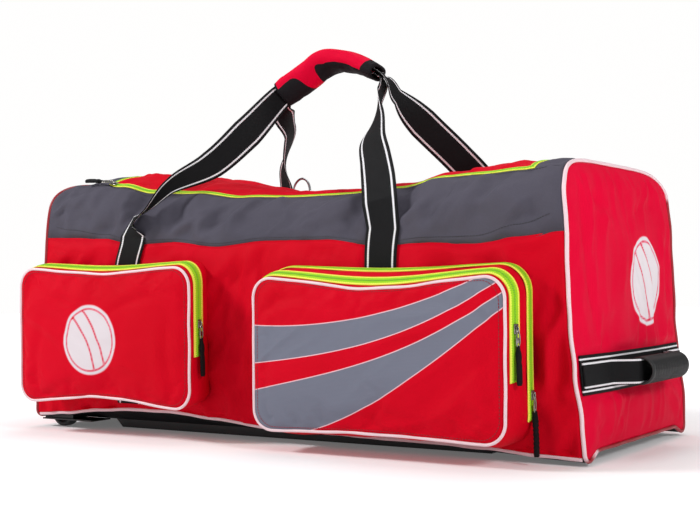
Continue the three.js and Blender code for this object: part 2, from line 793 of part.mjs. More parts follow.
function pocketLoops(pocket) {
  return {
    face: pocketLoop(pocket, 0, 0, 1),
    foot: pocketLoop(pocket, -pocket.flare, -pocket.topFlare, footSag),
  };
}

for (const pocket of Object.values(pockets)) {
  const loops = pocketLoops(pocket);
  add(`${pocket.name}_face`, pocketFace(pocket), 'redCloth');
  add(`${pocket.name}_gusset`, pocketGusset(pocket, loops), 'redCloth');
  add(`${pocket.name}_piping`, pocketPiping(pocket), 'piping');
}

const leftLoops = pocketLoops(pockets.left);
const rightLoops = pocketLoops(pockets.right);
const backLoops = pocketLoops(pockets.back);
add('pocket_left_zip_tape', pocketZip(pockets.left, leftLoops, 1, zipEnd, zipEnd), 'zipTape');
add('pocket_right_zip_front', pocketZip(pockets.right, rightLoops, 3, zipEnd, zipEnd), 'zipTape');
add('pocket_right_zip_rear', pocketZip(pockets.right, rightLoops, 1, rearZipEnd, rearZipEnd), 'zipTape');
add('back_pocket_zip_tape', pocketZip(pockets.back, backLoops, 1, backZipEnd.left, backZipEnd.right), 'zipTape');

// Handles

// Free stretch of each handle, from its left foot over the grip to its right foot. Turn and tip are
// the heading and slope in degrees of the webbing's width, and width is its share of webbingWidth.
// The rows of the legs run from the foot up. X is measured from the leg's own foot, y from the middle
// of the bag as a share of half its depth, and rise is the share of the way from the foot to the grip.
const legs = {
  frontLeft: [
    { x: 18, y: -1.06, rise: 0.09, turn: -28, tip: 0, width: 0.75 },
    { x: 42, y: -1.045, rise: 0.16, turn: -58, tip: 6, width: 0.44 },
    { x: 66, y: -0.91, rise: 0.31, turn: -105, tip: 30, width: 0.5 },
    { x: 100, y: -0.60, rise: 0.46, turn: -146, tip: 46, width: 0.9 },
    { x: 134, y: -0.37, rise: 0.67, turn: -148, tip: 47, width: 1 },
  ],
  frontRight: [
    { x: -9, y: -0.955, rise: 0.16, turn: 8, tip: 0, width: 1 },
    { x: -27, y: -0.82, rise: 0.29, turn: 4, tip: 0, width: 1 },
    { x: -48, y: -0.68, rise: 0.42, turn: -11, tip: 0, width: 1 },
    { x: -72, y: -0.52, rise: 0.55, turn: -24, tip: 0, width: 1 },
    { x: -93, y: -0.29, rise: 0.70, turn: -46, tip: 0, width: 1 },
    { x: -107, y: -0.11, rise: 0.85, turn: -70, tip: 0, width: 0.85 },
    { x: -114, y: 0, rise: 0.972, turn: -76, tip: 0, width: 0.76 },
  ],
  rearLeft: [
    { x: 14, y: 0.98, rise: 0.16, turn: -6, tip: 0, width: 0.9 },
    { x: 28, y: 0.90, rise: 0.34, turn: -25, tip: 0, width: 0.7 },
    { x: 64, y: 0.62, rise: 0.52, turn: -50, tip: 4, width: 0.8 },
    { x: 118, y: 0.30, rise: 0.74, turn: -72, tip: 8, width: 0.8 },
    { x: 131, y: 0.07, rise: 0.89, turn: -122, tip: 38, width: 0.74 },
  ],
  rearRight: [
    { x: -8, y: 0.985, rise: 0.16, turn: -176, tip: -6, width: 1 },
    { x: -20, y: 0.86, rise: 0.33, turn: -164, tip: -24, width: 1 },
    { x: -38, y: 0.60, rise: 0.50, turn: -150, tip: -44, width: 1 },
    { x: -74, y: 0.34, rise: 0.72, turn: -146, tip: -42, width: 1 },
    { x: -97, y: 0.15, rise: 0.88, turn: -92, tip: -6, width: 0.85 },
    { x: -103, y: 0.03, rise: 0.984, turn: -76, tip: 0, width: 0.76 },
  ],
};
const gripSlope = [
  { along: -0.5, rise: -1.00, turn: -132, tip: 46 },
  { along: -0.25, rise: -0.46, turn: -122, tip: 40 },
  { along: 0.0, rise: 0.00, turn: -110, tip: 30 },
  { along: 0.25, rise: -0.12, turn: -92, tip: 16 },
  { along: 0.5, rise: -0.56, turn: -76, tip: 0 },
];

// Middle of the grip at a share of its length, and the direction of the webbing's width there
function gripRow(row) {
  return {
    x: gripCentre + row.along * gripLength,
    y: 0,
    z: gripTopHeight + row.rise * gripArch,
    turn: row.turn,
    tip: row.tip,
    width: gripWebbingWidth / webbingWidth,
  };
}

function legRow(row, foot) {
  const grip = gripTopHeight - legMeet * gripArch;
  return {
    ...row,
    x: foot + row.x,
    y: row.y * halfDepth,
    z: THREE.MathUtils.lerp(strapTop, grip, row.rise),
  };
}

// Heading of the width as a direction
function widthDirection(turn, tip) {
  const heading = THREE.MathUtils.degToRad(turn);
  const slope = THREE.MathUtils.degToRad(tip);
  return new THREE.Vector3(
    Math.cos(heading) * Math.cos(slope), Math.sin(heading) * Math.cos(slope), Math.sin(slope),
  );
}

// Section of webbing sewn on the side wall
function wallSection(side, x, z, direction) {
  const offset = strapSeat + webbingThickness / 2;
  const half = direction * webbingWidth / 2;
  const left = onWall(side, x - half, z, offset);
  const right = onWall(side, x + half, z, offset);
  const middle = onWall(side, x, z, offset + 1).sub(onWall(side, x, z, offset));
  return { left, right, normal: middle };
}

// Sections of webbing along part of a row of stations, with its width turned square to its run
function routeSections(rows, first, last, stepsEach) {
  const route = new THREE.CatmullRomCurve3(rows.map((row) => new THREE.Vector3(row.x, row.y, row.z)));
  const spans = rows.length - 1;
  const stations = [];
  for (let i = 0; i <= (last - first) * stepsEach; i += 1) {
    const place = first + i / stepsEach;
    const row = rows[Math.min(spans - 1, Math.floor(place))];
    const next = rows[Math.min(spans - 1, Math.floor(place)) + 1];
    const share = place - Math.min(spans - 1, Math.floor(place));
    const centre = route.getPoint(place / spans);
    const run = route.getTangent(place / spans);
    const mix = (column) => THREE.MathUtils.lerp(row[column], next[column], share);
    const across = widthDirection(mix('turn'), mix('tip'));
    across.addScaledVector(run, -across.dot(run)).normalize();
    const half = mix('width') * webbingWidth / 2;
    stations.push({
      centre,
      across,
      left: centre.clone().addScaledVector(across, -half),
      right: centre.clone().addScaledVector(across, half),
      normal: across.clone().cross(run).normalize(),
    });
  }
  return stations;
}

// The two straps lie on each other inside the grip, each moved by stack off its middle line
const gripRows = gripSlope.map(gripRow);
const gripSections = routeSections(gripRows, 0, gripRows.length - 1, gripSteps / (gripRows.length - 1));

function stacked(section, stack) {
  const move = section.normal.clone().multiplyScalar(stack);
  const { left, right, normal } = section;
  return { left: left.clone().add(move), right: right.clone().add(move), normal };
}

function handleStrap(side, leftFoot, rightFoot, stack) {
  const names = side < 0 ? ['frontLeft', 'frontRight'] : ['rearLeft', 'rearRight'];
  const feet = [leftFoot, rightFoot];
  const [leftLeg, rightLeg] = names.map((name, k) => legs[name].map((row) => legRow(row, feet[k])));
  const rightDirection = side < 0 ? 1 : -1;
  const heights = spread(strapFoot, strapTop, strapSteps);
  const sewnLeft = heights.map((z) => wallSection(side, leftFoot, z, 1));
  const sewnRight = heights.map((z) => wallSection(side, rightFoot, z, rightDirection)).reverse();
  const onto = routeSections([...leftLeg, ...gripRows.slice(0, 2)], 0, leftLeg.length, legSteps);
  const offRows = [...gripRows.slice(-2), ...rightLeg.reverse()];
  const off = routeSections(offRows, 1, rightLeg.length + 1, legSteps);
  const parting = Math.sign(stack) * gripParting;
  const nearGrip = (away) => (stack + parting) * Math.max(0, 1 - away / legSteps);
  const up = onto.map((row, i) => stacked(row, nearGrip(onto.length - 1 - i))).slice(0, -1);
  const down = off.map((row, i) => stacked(row, nearGrip(i))).slice(1);
  const mouth = (share) => Math.abs(2 * share - 1) ** 4;
  const grip = gripSections.map((row, i) => stacked(row, stack + parting * mouth(i / gripSteps)));
  const inward = (section) => ({ ...section, normal: section.normal.clone().negate() });
  const stations = [
    ...(side > 0 ? sewnLeft.map(inward) : sewnLeft), ...up, ...grip, ...down, ...sewnRight.map(inward),
  ];
  const ring = ({ left, right, normal }) => bandSection(left, right, normal, webbingThickness);
  return loftGeometry(stations.map(ring));
}

const stackHalf = webbingThickness / 2 + gap;
add('strap_front', handleStrap(-1, frontStrapLeft, frontStrapRight, -stackHalf), 'webbing');
add('strap_rear', handleStrap(1, rearStrapLeft, rearStrapRight, stackHalf), 'webbing');

// Padded wrap round both straps
function gripWrap() {
  const sides = 10;
  const span = gripSections.length - 1;
  return wallGeometry((u, v, layer) => {
    const { centre, across, normal } = gripSections[Math.round(v * span)];
    const angle = u * 2 * Math.PI;
    const width = gripWidth / 2 - layer * gripPadding;
    const mouth = Math.abs(2 * v - 1) ** 4 * gripMouth;
    const height = layer ? webbingThickness + gripRoom + mouth : gripHeight / 2;
    const power = layer === 0 ? 0.8 : 0.35;
    const shape = (value) => Math.sign(value) * Math.abs(value) ** power;
    return centre.clone()
      .addScaledVector(across, width * shape(Math.cos(angle)))
      .addScaledVector(normal, height * shape(Math.sin(angle)));
  }, sides, span, true);
}
add('grip_wrap', gripWrap(), 'redCloth');

// Ring at the foot of the rear handle, held by a folded tab on the rear shoulder
function ringPath(count) {
  const points = [];
  const half = ringWidth / 2;
  for (let i = 0; i < count; i += 1) {
    const angle = Math.PI * i / (count - 1);
    points.push(new THREE.Vector2(half * Math.cos(angle), ringBar + (ringRise - ringBar) * Math.sin(angle)));
  }
  points.push(new THREE.Vector2(-half * 0.9, 0));
  points.push(new THREE.Vector2(0, -0.4));
  points.push(new THREE.Vector2(half * 0.9, 0));
  return points;
}

const ringAt = ringX / (endReach(ringX, bodyHeight) - pipingRoom);
const ringTurn = 4 - turnBeyond(ringAt, zipTurn(ringAt), -ringInset);
const tabGap = ringWire + 2 * gap;
const tabFoot = onSkin(ringAt, ringTurn, tabSeat + webbingThickness + tabGap, pipingRoom);
const ringUp = new THREE.Vector3(0, ringLeanBack, 1).normalize();
const ringAcross = new THREE.Vector3(1, 0, 0);
ringAcross.addScaledVector(ringUp, -ringUp.x).normalize();
const ringOut = ringAcross.clone().cross(ringUp);

function dRing() {
  const path = ringPath(9);
  const rings = path.map((place, i) => {
    const before = path[(i + path.length - 1) % path.length];
    const after = path[(i + 1) % path.length];
    const run = after.clone().sub(before).normalize();
    const centre = tabFoot.clone().addScaledVector(ringAcross, place.x).addScaledVector(ringUp, place.y);
    const side = ringAcross.clone().multiplyScalar(run.y).addScaledVector(ringUp, -run.x);
    return roundSection(centre, side, ringOut, ringWire, 6);
  });
  return loftGeometry(rings, true);
}

function ringTab() {
  const outer = tabGap + webbingThickness;
  const sides = 12;
  return wallGeometry((u, v, layer) => {
    const angle = (u + 0.5 / sides) * 2 * Math.PI;
    const radius = layer ? tabGap : outer;
    return tabFoot.clone()
      .addScaledVector(ringAcross, (v - 0.5) * ringTabWidth)
      .addScaledVector(ringUp, radius * Math.sin(angle))
      .addScaledVector(ringOut, radius * Math.cos(angle));
  }, sides, 1, true);
}
add('d_ring', dRing(), 'chrome');
add('ring_loop', ringTab(), 'webbing');

// Handle on the right end

const endCentre = new THREE.Vector3(0, 0, bodyHeight / 2);

// X of the right end panel's outer face, which swells between its edges
function endFace(y, z) {
  const edge = halfDepth - pipingRoom;
  const across = Math.min(1, Math.max(Math.abs(y) / edge, Math.abs(z - endCentre.z) / edge));
  return endReach(1, z) + endBulge * bodyDepth * (1 - across * across);
}

const endEdge = halfDepth - pipingRoom - endInset;
const baseStand = endWebbingClear + webbingThickness / 2;
const strapStand = baseStand + webbingThickness / 2 + gap + endStrapThickness / 2;

// Webbing across the right end: stand is its distance from the panel at a share of the half depth
function endBand(width, thickness, places) {
  const rings = places.map(({ y, stand, slim = 1 }, i) => {
    const before = places[Math.max(0, i - 1)];
    const after = places[Math.min(places.length - 1, i + 1)];
    const faceAt = (place) => endFace(place.y, endWebbingHeight) + place.stand;
    const run = new THREE.Vector3(faceAt(after) - faceAt(before), after.y - before.y, 0).normalize();
    const normal = new THREE.Vector3(run.y, -run.x, 0);
    const half = width * slim / 2;
    const lean = 1 - smooth(strapStand, endGripStandoff, stand);
    const faceLow = endFace(y, endWebbingHeight - endWebbingWidth / 2);
    const faceHigh = endFace(y, endWebbingHeight + endWebbingWidth / 2);
    const slope = lean * (faceHigh - faceLow) / endWebbingWidth;
    const middle = (faceLow + faceHigh) / 2 + stand;
    const edge = (sign) => new THREE.Vector3(middle + sign * half * slope, y, endWebbingHeight + sign * half);
    return bandSection(edge(-1), edge(1), normal, thickness);
  });
  return loftGeometry(rings);
}

const endBasePlaces = spread(-endEdge, endEdge, 12).map((y) => ({ y, stand: baseStand }));
add('end_handle_base', endBand(endWebbingWidth, webbingThickness, endBasePlaces), 'webbing');

// The carrying strap lies on the base webbing, swings out to the grip and comes back
function endStrapPlaces() {
  const lift = endGripStandoff - strapStand;
  const reach = endGripLength / 2;
  return spread(-endEdge, endEdge, 24).map((y) => {
    const rise = 1 - smooth(reach + endStrapThickness, reach + endStrapSwing, Math.abs(y));
    return { y, stand: strapStand + lift * rise };
  });
}
add('end_handle_strap', endBand(endStrapWidth, endStrapThickness, endStrapPlaces()), 'webbing');

function endGrip() {
  const sides = 16;
  const slotHeight = endStrapWidth / 2 + endSlotClearance;
  const slotDepth = endGripSlot / 2;
  return wallGeometry((u, v, layer) => {
    const angle = (u + 0.5 / sides) * 2 * Math.PI;
    const y = (v - 0.5) * endGripLength;
    const centreX = endFace(0, endWebbingHeight) + endGripStandoff;
    const outer = endGripDiameter / 2;
    const across = layer ? slotDepth : outer;
    const up = layer ? slotHeight : outer;
    const power = layer ? 0.3 : 1;
    const shape = (value) => Math.sign(value) * Math.abs(value) ** power;
    return new THREE.Vector3(
      centreX + across * shape(Math.cos(angle)), y, endWebbingHeight + up * shape(Math.sin(angle)),
    );
  }, sides, 4, true);
}
add('end_handle_grip', endGrip(), 'rubber');

// Wheels, each with its housing and axle

function wheelGeometry() {
  const half = wheelWidth / 2;
  const bore = axleRadius + axleClearance;
  const edge = wheelWidth / 6;
  const outline = [
    [bore, -half], [wheelRadius - edge, -half], [wheelRadius, -half + edge], [wheelRadius, half - edge],
    [wheelRadius - edge, half], [bore, half], [bore, -half],
  ];
  const lathe = new THREE.LatheGeometry(outline.map(([x, y]) => new THREE.Vector2(x, y)), 20);
  return fromSolid(toSolid(lathe));
}

function housingGeometry(side) {
  const floor = flangeTop - flangeThickness;
  const nearY = side * housingLow.y;
  const farY = side * housingHigh.y;
  const low = new THREE.Vector3(housingLow.x, Math.min(nearY, farY), floor);
  const high = new THREE.Vector3(housingHigh.x, Math.max(nearY, farY), housingHigh.z);
  const wallInset = new THREE.Vector3(housingWall, housingWall, housingWall);
  const roomLow = low.clone().add(wallInset).setZ(floor - 1);
  const roomHigh = high.clone().sub(wallInset);
  const flangeLow = new THREE.Vector3(low.x, low.y - housingFlange, floor);
  const flangeHigh = new THREE.Vector3(high.x + housingReach, high.y + housingFlange, flangeTop);
  const cup = toSolid(boxAt(low, high)).add(toSolid(boxAt(flangeLow, flangeHigh)));
  return fromSolid(cup.subtract(toSolid(boxAt(roomLow, roomHigh))));
}

for (const [side, word] of [[-1, 'front'], [1, 'rear']]) {
  const wheel = add(`wheel_${word}`, wheelGeometry(), 'rubber');
  wheel.position.set(wheelX, side * wheelY, wheelRadius);
  const axleLength = wheelWidth + 2 * wheelRoom - 2 * gap;
  const axle = add(`axle_${word}`, new THREE.CylinderGeometry(axleRadius, axleRadius, axleLength, 10), 'chrome');
  axle.position.copy(wheel.position);
  add(`housing_${word}`, housingGeometry(side), 'plastic');
}

function skidGeometry() {
  const top = baseClearance - gap;
  const outline = new THREE.Shape([
    new THREE.Vector2(skidStart, top), new THREE.Vector2(skidStart + skidSlant, 0),
    new THREE.Vector2(skidEnd - skidSlant, 0), new THREE.Vector2(skidEnd, top),
  ]);
  const bar = new THREE.ExtrudeGeometry(outline, { depth: skidWidth, bevelEnabled: false });
  return bar.rotateX(Math.PI / 2);
}

for (const [side, word] of [[-1, 'front'], [1, 'rear']]) {
  const skid = add(`skid_${word}`, skidGeometry(), 'plastic');
  skid.position.y = side * skidY + skidWidth / 2;
}

// Zip sliders and pulls

// Block of three sizes with its own directions
function addBlock(name, size, centre, run, normal, finish) {
  const block = add(name, new THREE.BoxGeometry(...size), finish);
  const across = normal.clone().cross(run).normalize();
  block.quaternion.setFromRotationMatrix(new THREE.Matrix4().makeBasis(run, across, normal));
  block.position.copy(centre);
}

function addSlider(name, foot, run, normal) {
  const centre = foot.clone().addScaledVector(normal, gap + sliderHeight / 2);
  addBlock(name, [sliderLength, sliderWidth, sliderHeight], centre, run, normal, 'chrome');
}

// Slider of a pocket's zip, on the strip of the gusset at a height on the right side
function pocketSlider(pocket, loops, strip, height, name, pull) {
  const share = (pocket.seams[strip] + pocket.seams[strip + 1]) / 2;
  const count = loops.face.length;
  const middle = loops.face.findIndex((rim, i) => (
    rim.x > pocket.centre && rim.z <= pocket.bottom + height * pocket.height && i > count / 3
  ));
  const place = (i) => gussetPoint(pocket, loops, i, share, gap + zipTapeThickness);
  const high = place(middle - 1);
  const low = place(middle);
  const mix = (pocket.bottom + height * pocket.height - low.z) / (high.z - low.z);
  const foot = low.clone().lerp(high, mix);
  const run = low.clone().sub(high).normalize();
  const strapwise = gussetPoint(pocket, loops, middle, pocket.seams[strip + 1], 0)
    .sub(gussetPoint(pocket, loops, middle, pocket.seams[strip], 0)).normalize();
  const normal = run.clone().cross(strapwise).normalize();
  normal.multiplyScalar(Math.sign(normal.x));
  foot.addScaledVector(normal, seatLift);
  addSlider(`${name}_slider`, foot, run, normal);
  const hang = new THREE.Vector3(0, 0, -1);
  const side = new THREE.Vector3(1, 0, 0);
  const centre = foot.clone().addScaledVector(normal, gap + sliderHeight / 2);
  centre.z -= pullDrop + pull.length / 2;
  addBlock(`${name}_pull`, [pull.length, pull.width, pullThickness], centre, hang, side, 'webbing');
}

pocketSlider(pockets.left, leftLoops, 1, 0.60, 'pocket_left', { length: 70, width: 8 });
pocketSlider(pockets.right, rightLoops, 3, 0.68, 'pocket_right_front', { length: 62, width: 9 });
pocketSlider(pockets.right, rightLoops, 1, 0.28, 'pocket_right_rear', { length: 70, width: 10 });
pocketSlider(pockets.back, backLoops, 1, 0.80, 'back_pocket', { length: 44, width: 8 });

function lidSlider() {
  const at = lidLeft + lidSliderShare;
  const turn = zipTurn(at);
  const foot = onSkin(at, turn, seatLift, pipingRoom);
  const normal = skinNormal(at, turn, pipingRoom);
  const run = onSkin(at + 0.01, zipTurn(at + 0.01), 0, pipingRoom)
    .sub(onSkin(at - 0.01, zipTurn(at - 0.01), 0, pipingRoom)).normalize();
  run.addScaledVector(normal, -run.dot(normal)).normalize();
  addSlider('lid_zip_slider', foot, run, normal);
  const pullAt = at - shareOf(lidPullLength / 2 + sliderLength / 2 + gap);
  const pullTurn = turnBeyond(pullAt, zipTurn(pullAt), -lidPullDrop);
  const centre = onSkin(pullAt, pullTurn, lidPullLift, pipingRoom);
  const tip = onSkin(pullAt - 0.02, turnBeyond(pullAt, pullTurn, -6), lidPullLift, pipingRoom);
  const lie = tip.sub(centre).normalize();
  const face = skinNormal(pullAt, pullTurn, pipingRoom);
  lie.addScaledVector(face, -lie.dot(face)).normalize();
  addBlock('lid_zip_pull', [lidPullLength, lidPullWidth, pullThickness], centre, lie, face, 'webbing');
}
lidSlider();

// The origin is moved under the middle of the whole bag
const middle = new THREE.Box3().setFromObject(bag).getCenter(new THREE.Vector3());
for (const mesh of bag.children) {
  mesh.position.x -= middle.x;
  mesh.position.y -= middle.y;
}

export default bag;
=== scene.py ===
import math
import bmesh
import bpy
import numpy as np
from mathutils import Matrix, Vector


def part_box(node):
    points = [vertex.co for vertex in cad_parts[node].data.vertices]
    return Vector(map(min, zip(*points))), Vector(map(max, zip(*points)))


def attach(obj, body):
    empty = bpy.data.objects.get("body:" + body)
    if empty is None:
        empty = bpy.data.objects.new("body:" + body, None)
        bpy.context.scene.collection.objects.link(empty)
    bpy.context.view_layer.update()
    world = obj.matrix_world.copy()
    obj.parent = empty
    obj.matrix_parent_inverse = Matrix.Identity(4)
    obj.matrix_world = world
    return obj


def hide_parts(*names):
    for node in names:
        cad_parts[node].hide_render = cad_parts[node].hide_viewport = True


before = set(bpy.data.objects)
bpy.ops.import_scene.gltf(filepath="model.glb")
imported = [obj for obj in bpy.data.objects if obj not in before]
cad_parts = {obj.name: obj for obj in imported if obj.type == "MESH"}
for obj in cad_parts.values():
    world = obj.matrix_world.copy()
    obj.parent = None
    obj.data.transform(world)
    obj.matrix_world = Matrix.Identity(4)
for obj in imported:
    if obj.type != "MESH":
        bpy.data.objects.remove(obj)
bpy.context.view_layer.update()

# the cloth body's middle in the frame; every surface below is worked out in mm about it
baseLow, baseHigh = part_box("base_panel")
middle = np.array([(baseLow[0] + baseHigh[0]) / 2, (baseLow[1] + baseHigh[1]) / 2, 0.0])

# lengths in mm; the lid's ends, the bulges and baseShare are shares of the half length, depth and half depth
body = {"length": 944, "depth": 392, "height": 390, "corner": 14, "clear": 14, "wall": 1.6,
        "lidLeft": -0.79, "lidRight": 0.895, "bulge": 0.012, "endBulge": 0.02, "baseShare": 0.8}
piping = {"radius": 3.4, "sink": 1.8, "pocketRadius": 2.6, "pocketSink": 1.3, "gap": 0.3}
halfLength = body["length"] / 2
halfDepth = body["depth"] / 2
pipingRoom = piping["radius"] + piping["sink"] + piping["gap"]
pocketRoom = piping["pocketRadius"] + piping["pocketSink"] + piping["gap"]
gap = piping["gap"]
zipWidth = 9.4
lidEdge = zipWidth / 2 + gap
core = (0, 0, 190)  # a point well inside the body, which its walls face away from

# at is a share of the half length, the rest are shares of the height, and square is the power of the curve
sections = np.array([
    # at, hem, spring, crest, sag, seam, zip, square
    (-1.00, 0.040, 0.76, 1.010, 0.000, 0.778, 0.990, 5.0),
    (-0.88, 0.050, 0.73, 1.030, 0.000, 0.776, 1.005, 4.4),
    (-0.72, 0.070, 0.70, 1.042, 0.000, 0.768, 0.985, 3.8),
    (-0.58, 0.080, 0.67, 1.024, 0.004, 0.742, 0.955, 3.2),
    (-0.42, 0.080, 0.66, 0.996, 0.010, 0.748, 0.950, 3.0),
    (-0.22, 0.064, 0.64, 0.970, 0.022, 0.727, 0.930, 2.9),
    (-0.02, 0.044, 0.64, 0.958, 0.030, 0.744, 0.926, 2.9),
    (0.20, 0.040, 0.64, 0.958, 0.028, 0.742, 0.926, 2.9),
    (0.40, 0.034, 0.64, 0.968, 0.020, 0.716, 0.934, 3.0),
    (0.56, 0.032, 0.66, 0.988, 0.008, 0.722, 0.960, 3.2),
    (0.72, 0.026, 0.68, 0.998, 0.000, 0.714, 0.957, 3.6),
    (0.86, 0.014, 0.72, 1.002, 0.000, 0.734, 0.962, 4.2),
    (1.00, 0.010, 0.75, 0.996, 0.000, 0.748, 0.968, 5.0)])
columnOf = {"hem": 1, "spring": 2, "crest": 3, "sag": 4, "seam": 5, "zip": 6, "square": 7}
# the ends' reach at a share of the height, as shares of the half length
endLean = np.array([
    # height, right, left
    (0.00, 1.000, 1.000), (0.14, 0.996, 0.996), (0.30, 0.978, 0.980), (0.45, 0.966, 0.964),
    (0.75, 0.958, 0.940), (0.90, 0.948, 0.932), (1.05, 0.915, 0.900)])
# hollows of the skin as shares of the half length, height and depth; a negative one stands out
dents = np.array([
    # at, height, length, rise, depth
    (-0.48, 0.86, 0.09, 0.06, 0.014), (-0.26, 0.82, 0.07, 0.08, 0.012), (0.06, 0.84, 0.12, 0.05, 0.008),
    (0.46, 0.78, 0.07, 0.08, 0.012), (0.76, 0.80, 0.08, 0.07, 0.010), (-0.09, 0.40, 0.14, 0.28, -0.006)])
straps = {"frontLeft": -268, "frontRight": 184, "rearLeft": -262, "rearRight": 176}
webbing = {"width": 50, "thick": 1.8, "seat": 1.2, "foot": 46, "top": 302, "lean": 12}


def fromTable(table, place, column):
    # value of a column at a place, eased between rows by 3t^2 - 2t^3
    keys = table[:, 0]
    place = np.asarray(place, float)
    row = np.clip(np.searchsorted(keys, place, side="right") - 1, 0, len(keys) - 2)
    share = np.clip((place - keys[row]) / (keys[row + 1] - keys[row]), 0, 1)
    share = share * share * (3 - 2 * share)
    return table[row, column] + (table[row + 1, column] - table[row, column]) * share


def section(at, name):
    # a named column of the section table
    return fromTable(sections, at, columnOf[name])


def smooth(low, high, value):
    # 0 below low, 1 above high and 3t^2 - 2t^3 between
    share = np.clip((value - low) / (high - low), 0, 1)
    return share * share * (3 - 2 * share)


def endReach(side, z):
    # half length at a height: the lean table's share of half the body
    return halfLength * fromTable(endLean, np.asarray(z) / body["height"], 1 if side > 0 else 2)


def profile(at, level):
    # half section: base to -1, rounded edge to 0, side to 1, then a quarter superellipse up to the ridge
    height = body["height"]
    hem = section(at, "hem") * height
    spring = section(at, "spring") * height
    crest = section(at, "crest") * height
    sag = section(at, "sag") * height
    start = hem + body["corner"]

    def swell(z):
        risen = np.clip((z - start) / (crest - start), 0, 1)
        return body["bulge"] * body["depth"] * np.sin(np.pi * risen)

    share = level + 2
    baseY = -(halfDepth - body["corner"]) * share
    baseZ = body["clear"] + (hem - body["clear"]) * smooth(body["baseShare"], 1, share)
    turn = (level + 1) * np.pi / 2
    edgeY = -halfDepth + body["corner"] * (1 - np.sin(turn))
    edgeZ = start - body["corner"] * np.cos(turn)
    sideZ = start + (spring - start) * level
    sideY = -halfDepth - swell(sideZ)
    turn = np.clip((level - 1) * np.pi / 2, 0, np.pi / 2)
    power = 2 / section(at, "square")
    across = np.abs(np.cos(turn)) ** power
    topZ = spring + (crest - spring) * np.abs(np.sin(turn)) ** power
    topY = -(halfDepth + swell(topZ)) * across
    topZ = topZ - sag * (1 - across ** 2) ** 2
    y = np.where(level < -1, baseY, np.where(level < 0, edgeY, np.where(level < 1, sideY, topY)))
    z = np.where(level < -1, baseZ, np.where(level < 0, edgeZ, np.where(level < 1, sideZ, topZ)))
    return y, z


def levelAt(at, z):
    # the level at which profile reaches the height z, its rise turned round
    spring = section(at, "spring") * body["height"]
    crest = section(at, "crest") * body["height"]
    start = section(at, "hem") * body["height"] + body["corner"]
    share = np.clip((z - spring) / (crest - spring), 0, 1)
    upper = 1 + np.arcsin(share ** (section(at, "square") / 2)) * 2 / np.pi
    return np.where(z < spring, (z - start) / (spring - start), upper)


def skin(at, turn, inset):
    # turn runs from the middle of the base (-2) up the front, over the ridge (2) and down the back (6)
    at, turn = np.broadcast_arrays(np.asarray(at, float), np.asarray(turn, float))
    level = np.where(turn > 2, 4 - turn, turn)
    y, z = profile(at, level)
    reach = np.where(at > 0, endReach(1, z), endReach(-1, z)) - inset
    return np.stack([at * reach, np.where(turn > 2, -y, y), z], -1)


def unit(v):
    # each vector over its own length
    return v / np.maximum(np.linalg.norm(v, axis=-1, keepdims=True), 1e-9)


def skinNormal(at, turn, inset):
    # cross product of the surface's steps along and around
    step = 0.002
    along = skin(at + step, turn, inset) - skin(at - step, turn, inset)
    around = skin(at, turn + step, inset) - skin(at, turn - step, inset)
    return unit(np.cross(along, around))


def dentDepth(at, z):
    # sum of Gaussian hollows, one for each row of dents
    total = 0
    for dentAt, height, length, rise, depth in dents:
        along = (at - dentAt) / length
        up = (z / body["height"] - height) / rise
        total = total + depth * body["depth"] * np.exp(-along ** 2 - up ** 2)
    return total


def onSkin(at, turn, offset, inset=pipingRoom):
    # surface point moved out along the normal by the offset, less the dents
    point = skin(at, turn, inset)
    push = offset - dentDepth(at, point[..., 2])
    return point + skinNormal(at, turn, inset) * np.asarray(push)[..., None]


def turnBeyond(at, turn, distance):
    # the turn that lies a distance further round, in mm
    step = 0.01
    speed = np.linalg.norm(skin(at, turn + step, 0) - skin(at, turn - step, 0), axis=-1) / (2 * step)
    return turn + distance / speed


def onWall(side, x, z, offset):
    # point of the front (-1) or rear (1) wall at x and z, moved out by the offset
    at = np.where(x > 0, x / (endReach(1, z) - pipingRoom), x / (endReach(-1, z) - pipingRoom))
    turn = levelAt(at, z) if side < 0 else 4 - levelAt(at, z)
    return onSkin(at, turn, offset)


def ripple(x, z, seed, size, waves=7):
    # mean of plane sine waves with seeded headings, lengths and phases
    rng = np.random.default_rng(seed)
    total = 0
    for _ in range(waves):
        heading = rng.uniform(0, np.pi)
        length = size * rng.uniform(0.6, 1.7)
        phase = rng.uniform(0, 2 * np.pi)
        total = total + np.sin(2 * np.pi * (x * np.cos(heading) + z * np.sin(heading)) / length + phase)
    return total / math.sqrt(waves)


def crumple(x, z, seed, size, lean=35, stretch=1.7):
    # stiff cloth: how large a bent ripple is at each place, so that it folds sharply where the ripple
    # crosses zero, drawn out along the lean
    turn = math.radians(lean)
    u = (x * math.cos(turn) + z * math.sin(turn)) / stretch
    w = z * math.cos(turn) - x * math.sin(turn)
    bend = 0.16 * size
    u, w = u + bend * ripple(u, w, seed + 5, 1.3 * size), w + bend * ripple(w, u, seed + 6, 1.3 * size)
    broad = np.sqrt(ripple(u, w, seed, size) ** 2 + 0.01)
    small = np.sqrt(ripple(u, w, seed + 3, size * 0.45) ** 2 + 0.02)
    return 0.55 - broad - 0.25 * small


def creases(x, z, rows):
    # Gaussian valleys that bow and fade along their length, each with a low ridge beside it
    total = 0
    for centreX, centreZ, heading, length, width, depth in rows:
        turn = math.radians(heading)
        along = (x - centreX) * math.cos(turn) + (z - centreZ) * math.sin(turn)
        bow = 0.12 * along ** 2 / length
        cross = -(x - centreX) * math.sin(turn) + (z - centreZ) * math.cos(turn) + bow
        fade = np.exp(-(along / length) ** 2)
        valley = np.exp(-(cross / width) ** 2)
        ridge = np.exp(-((cross - 1.9 * width) / (1.3 * width)) ** 2)
        total = total - depth * fade * (valley - 0.6 * ridge)
    return total


# meshes


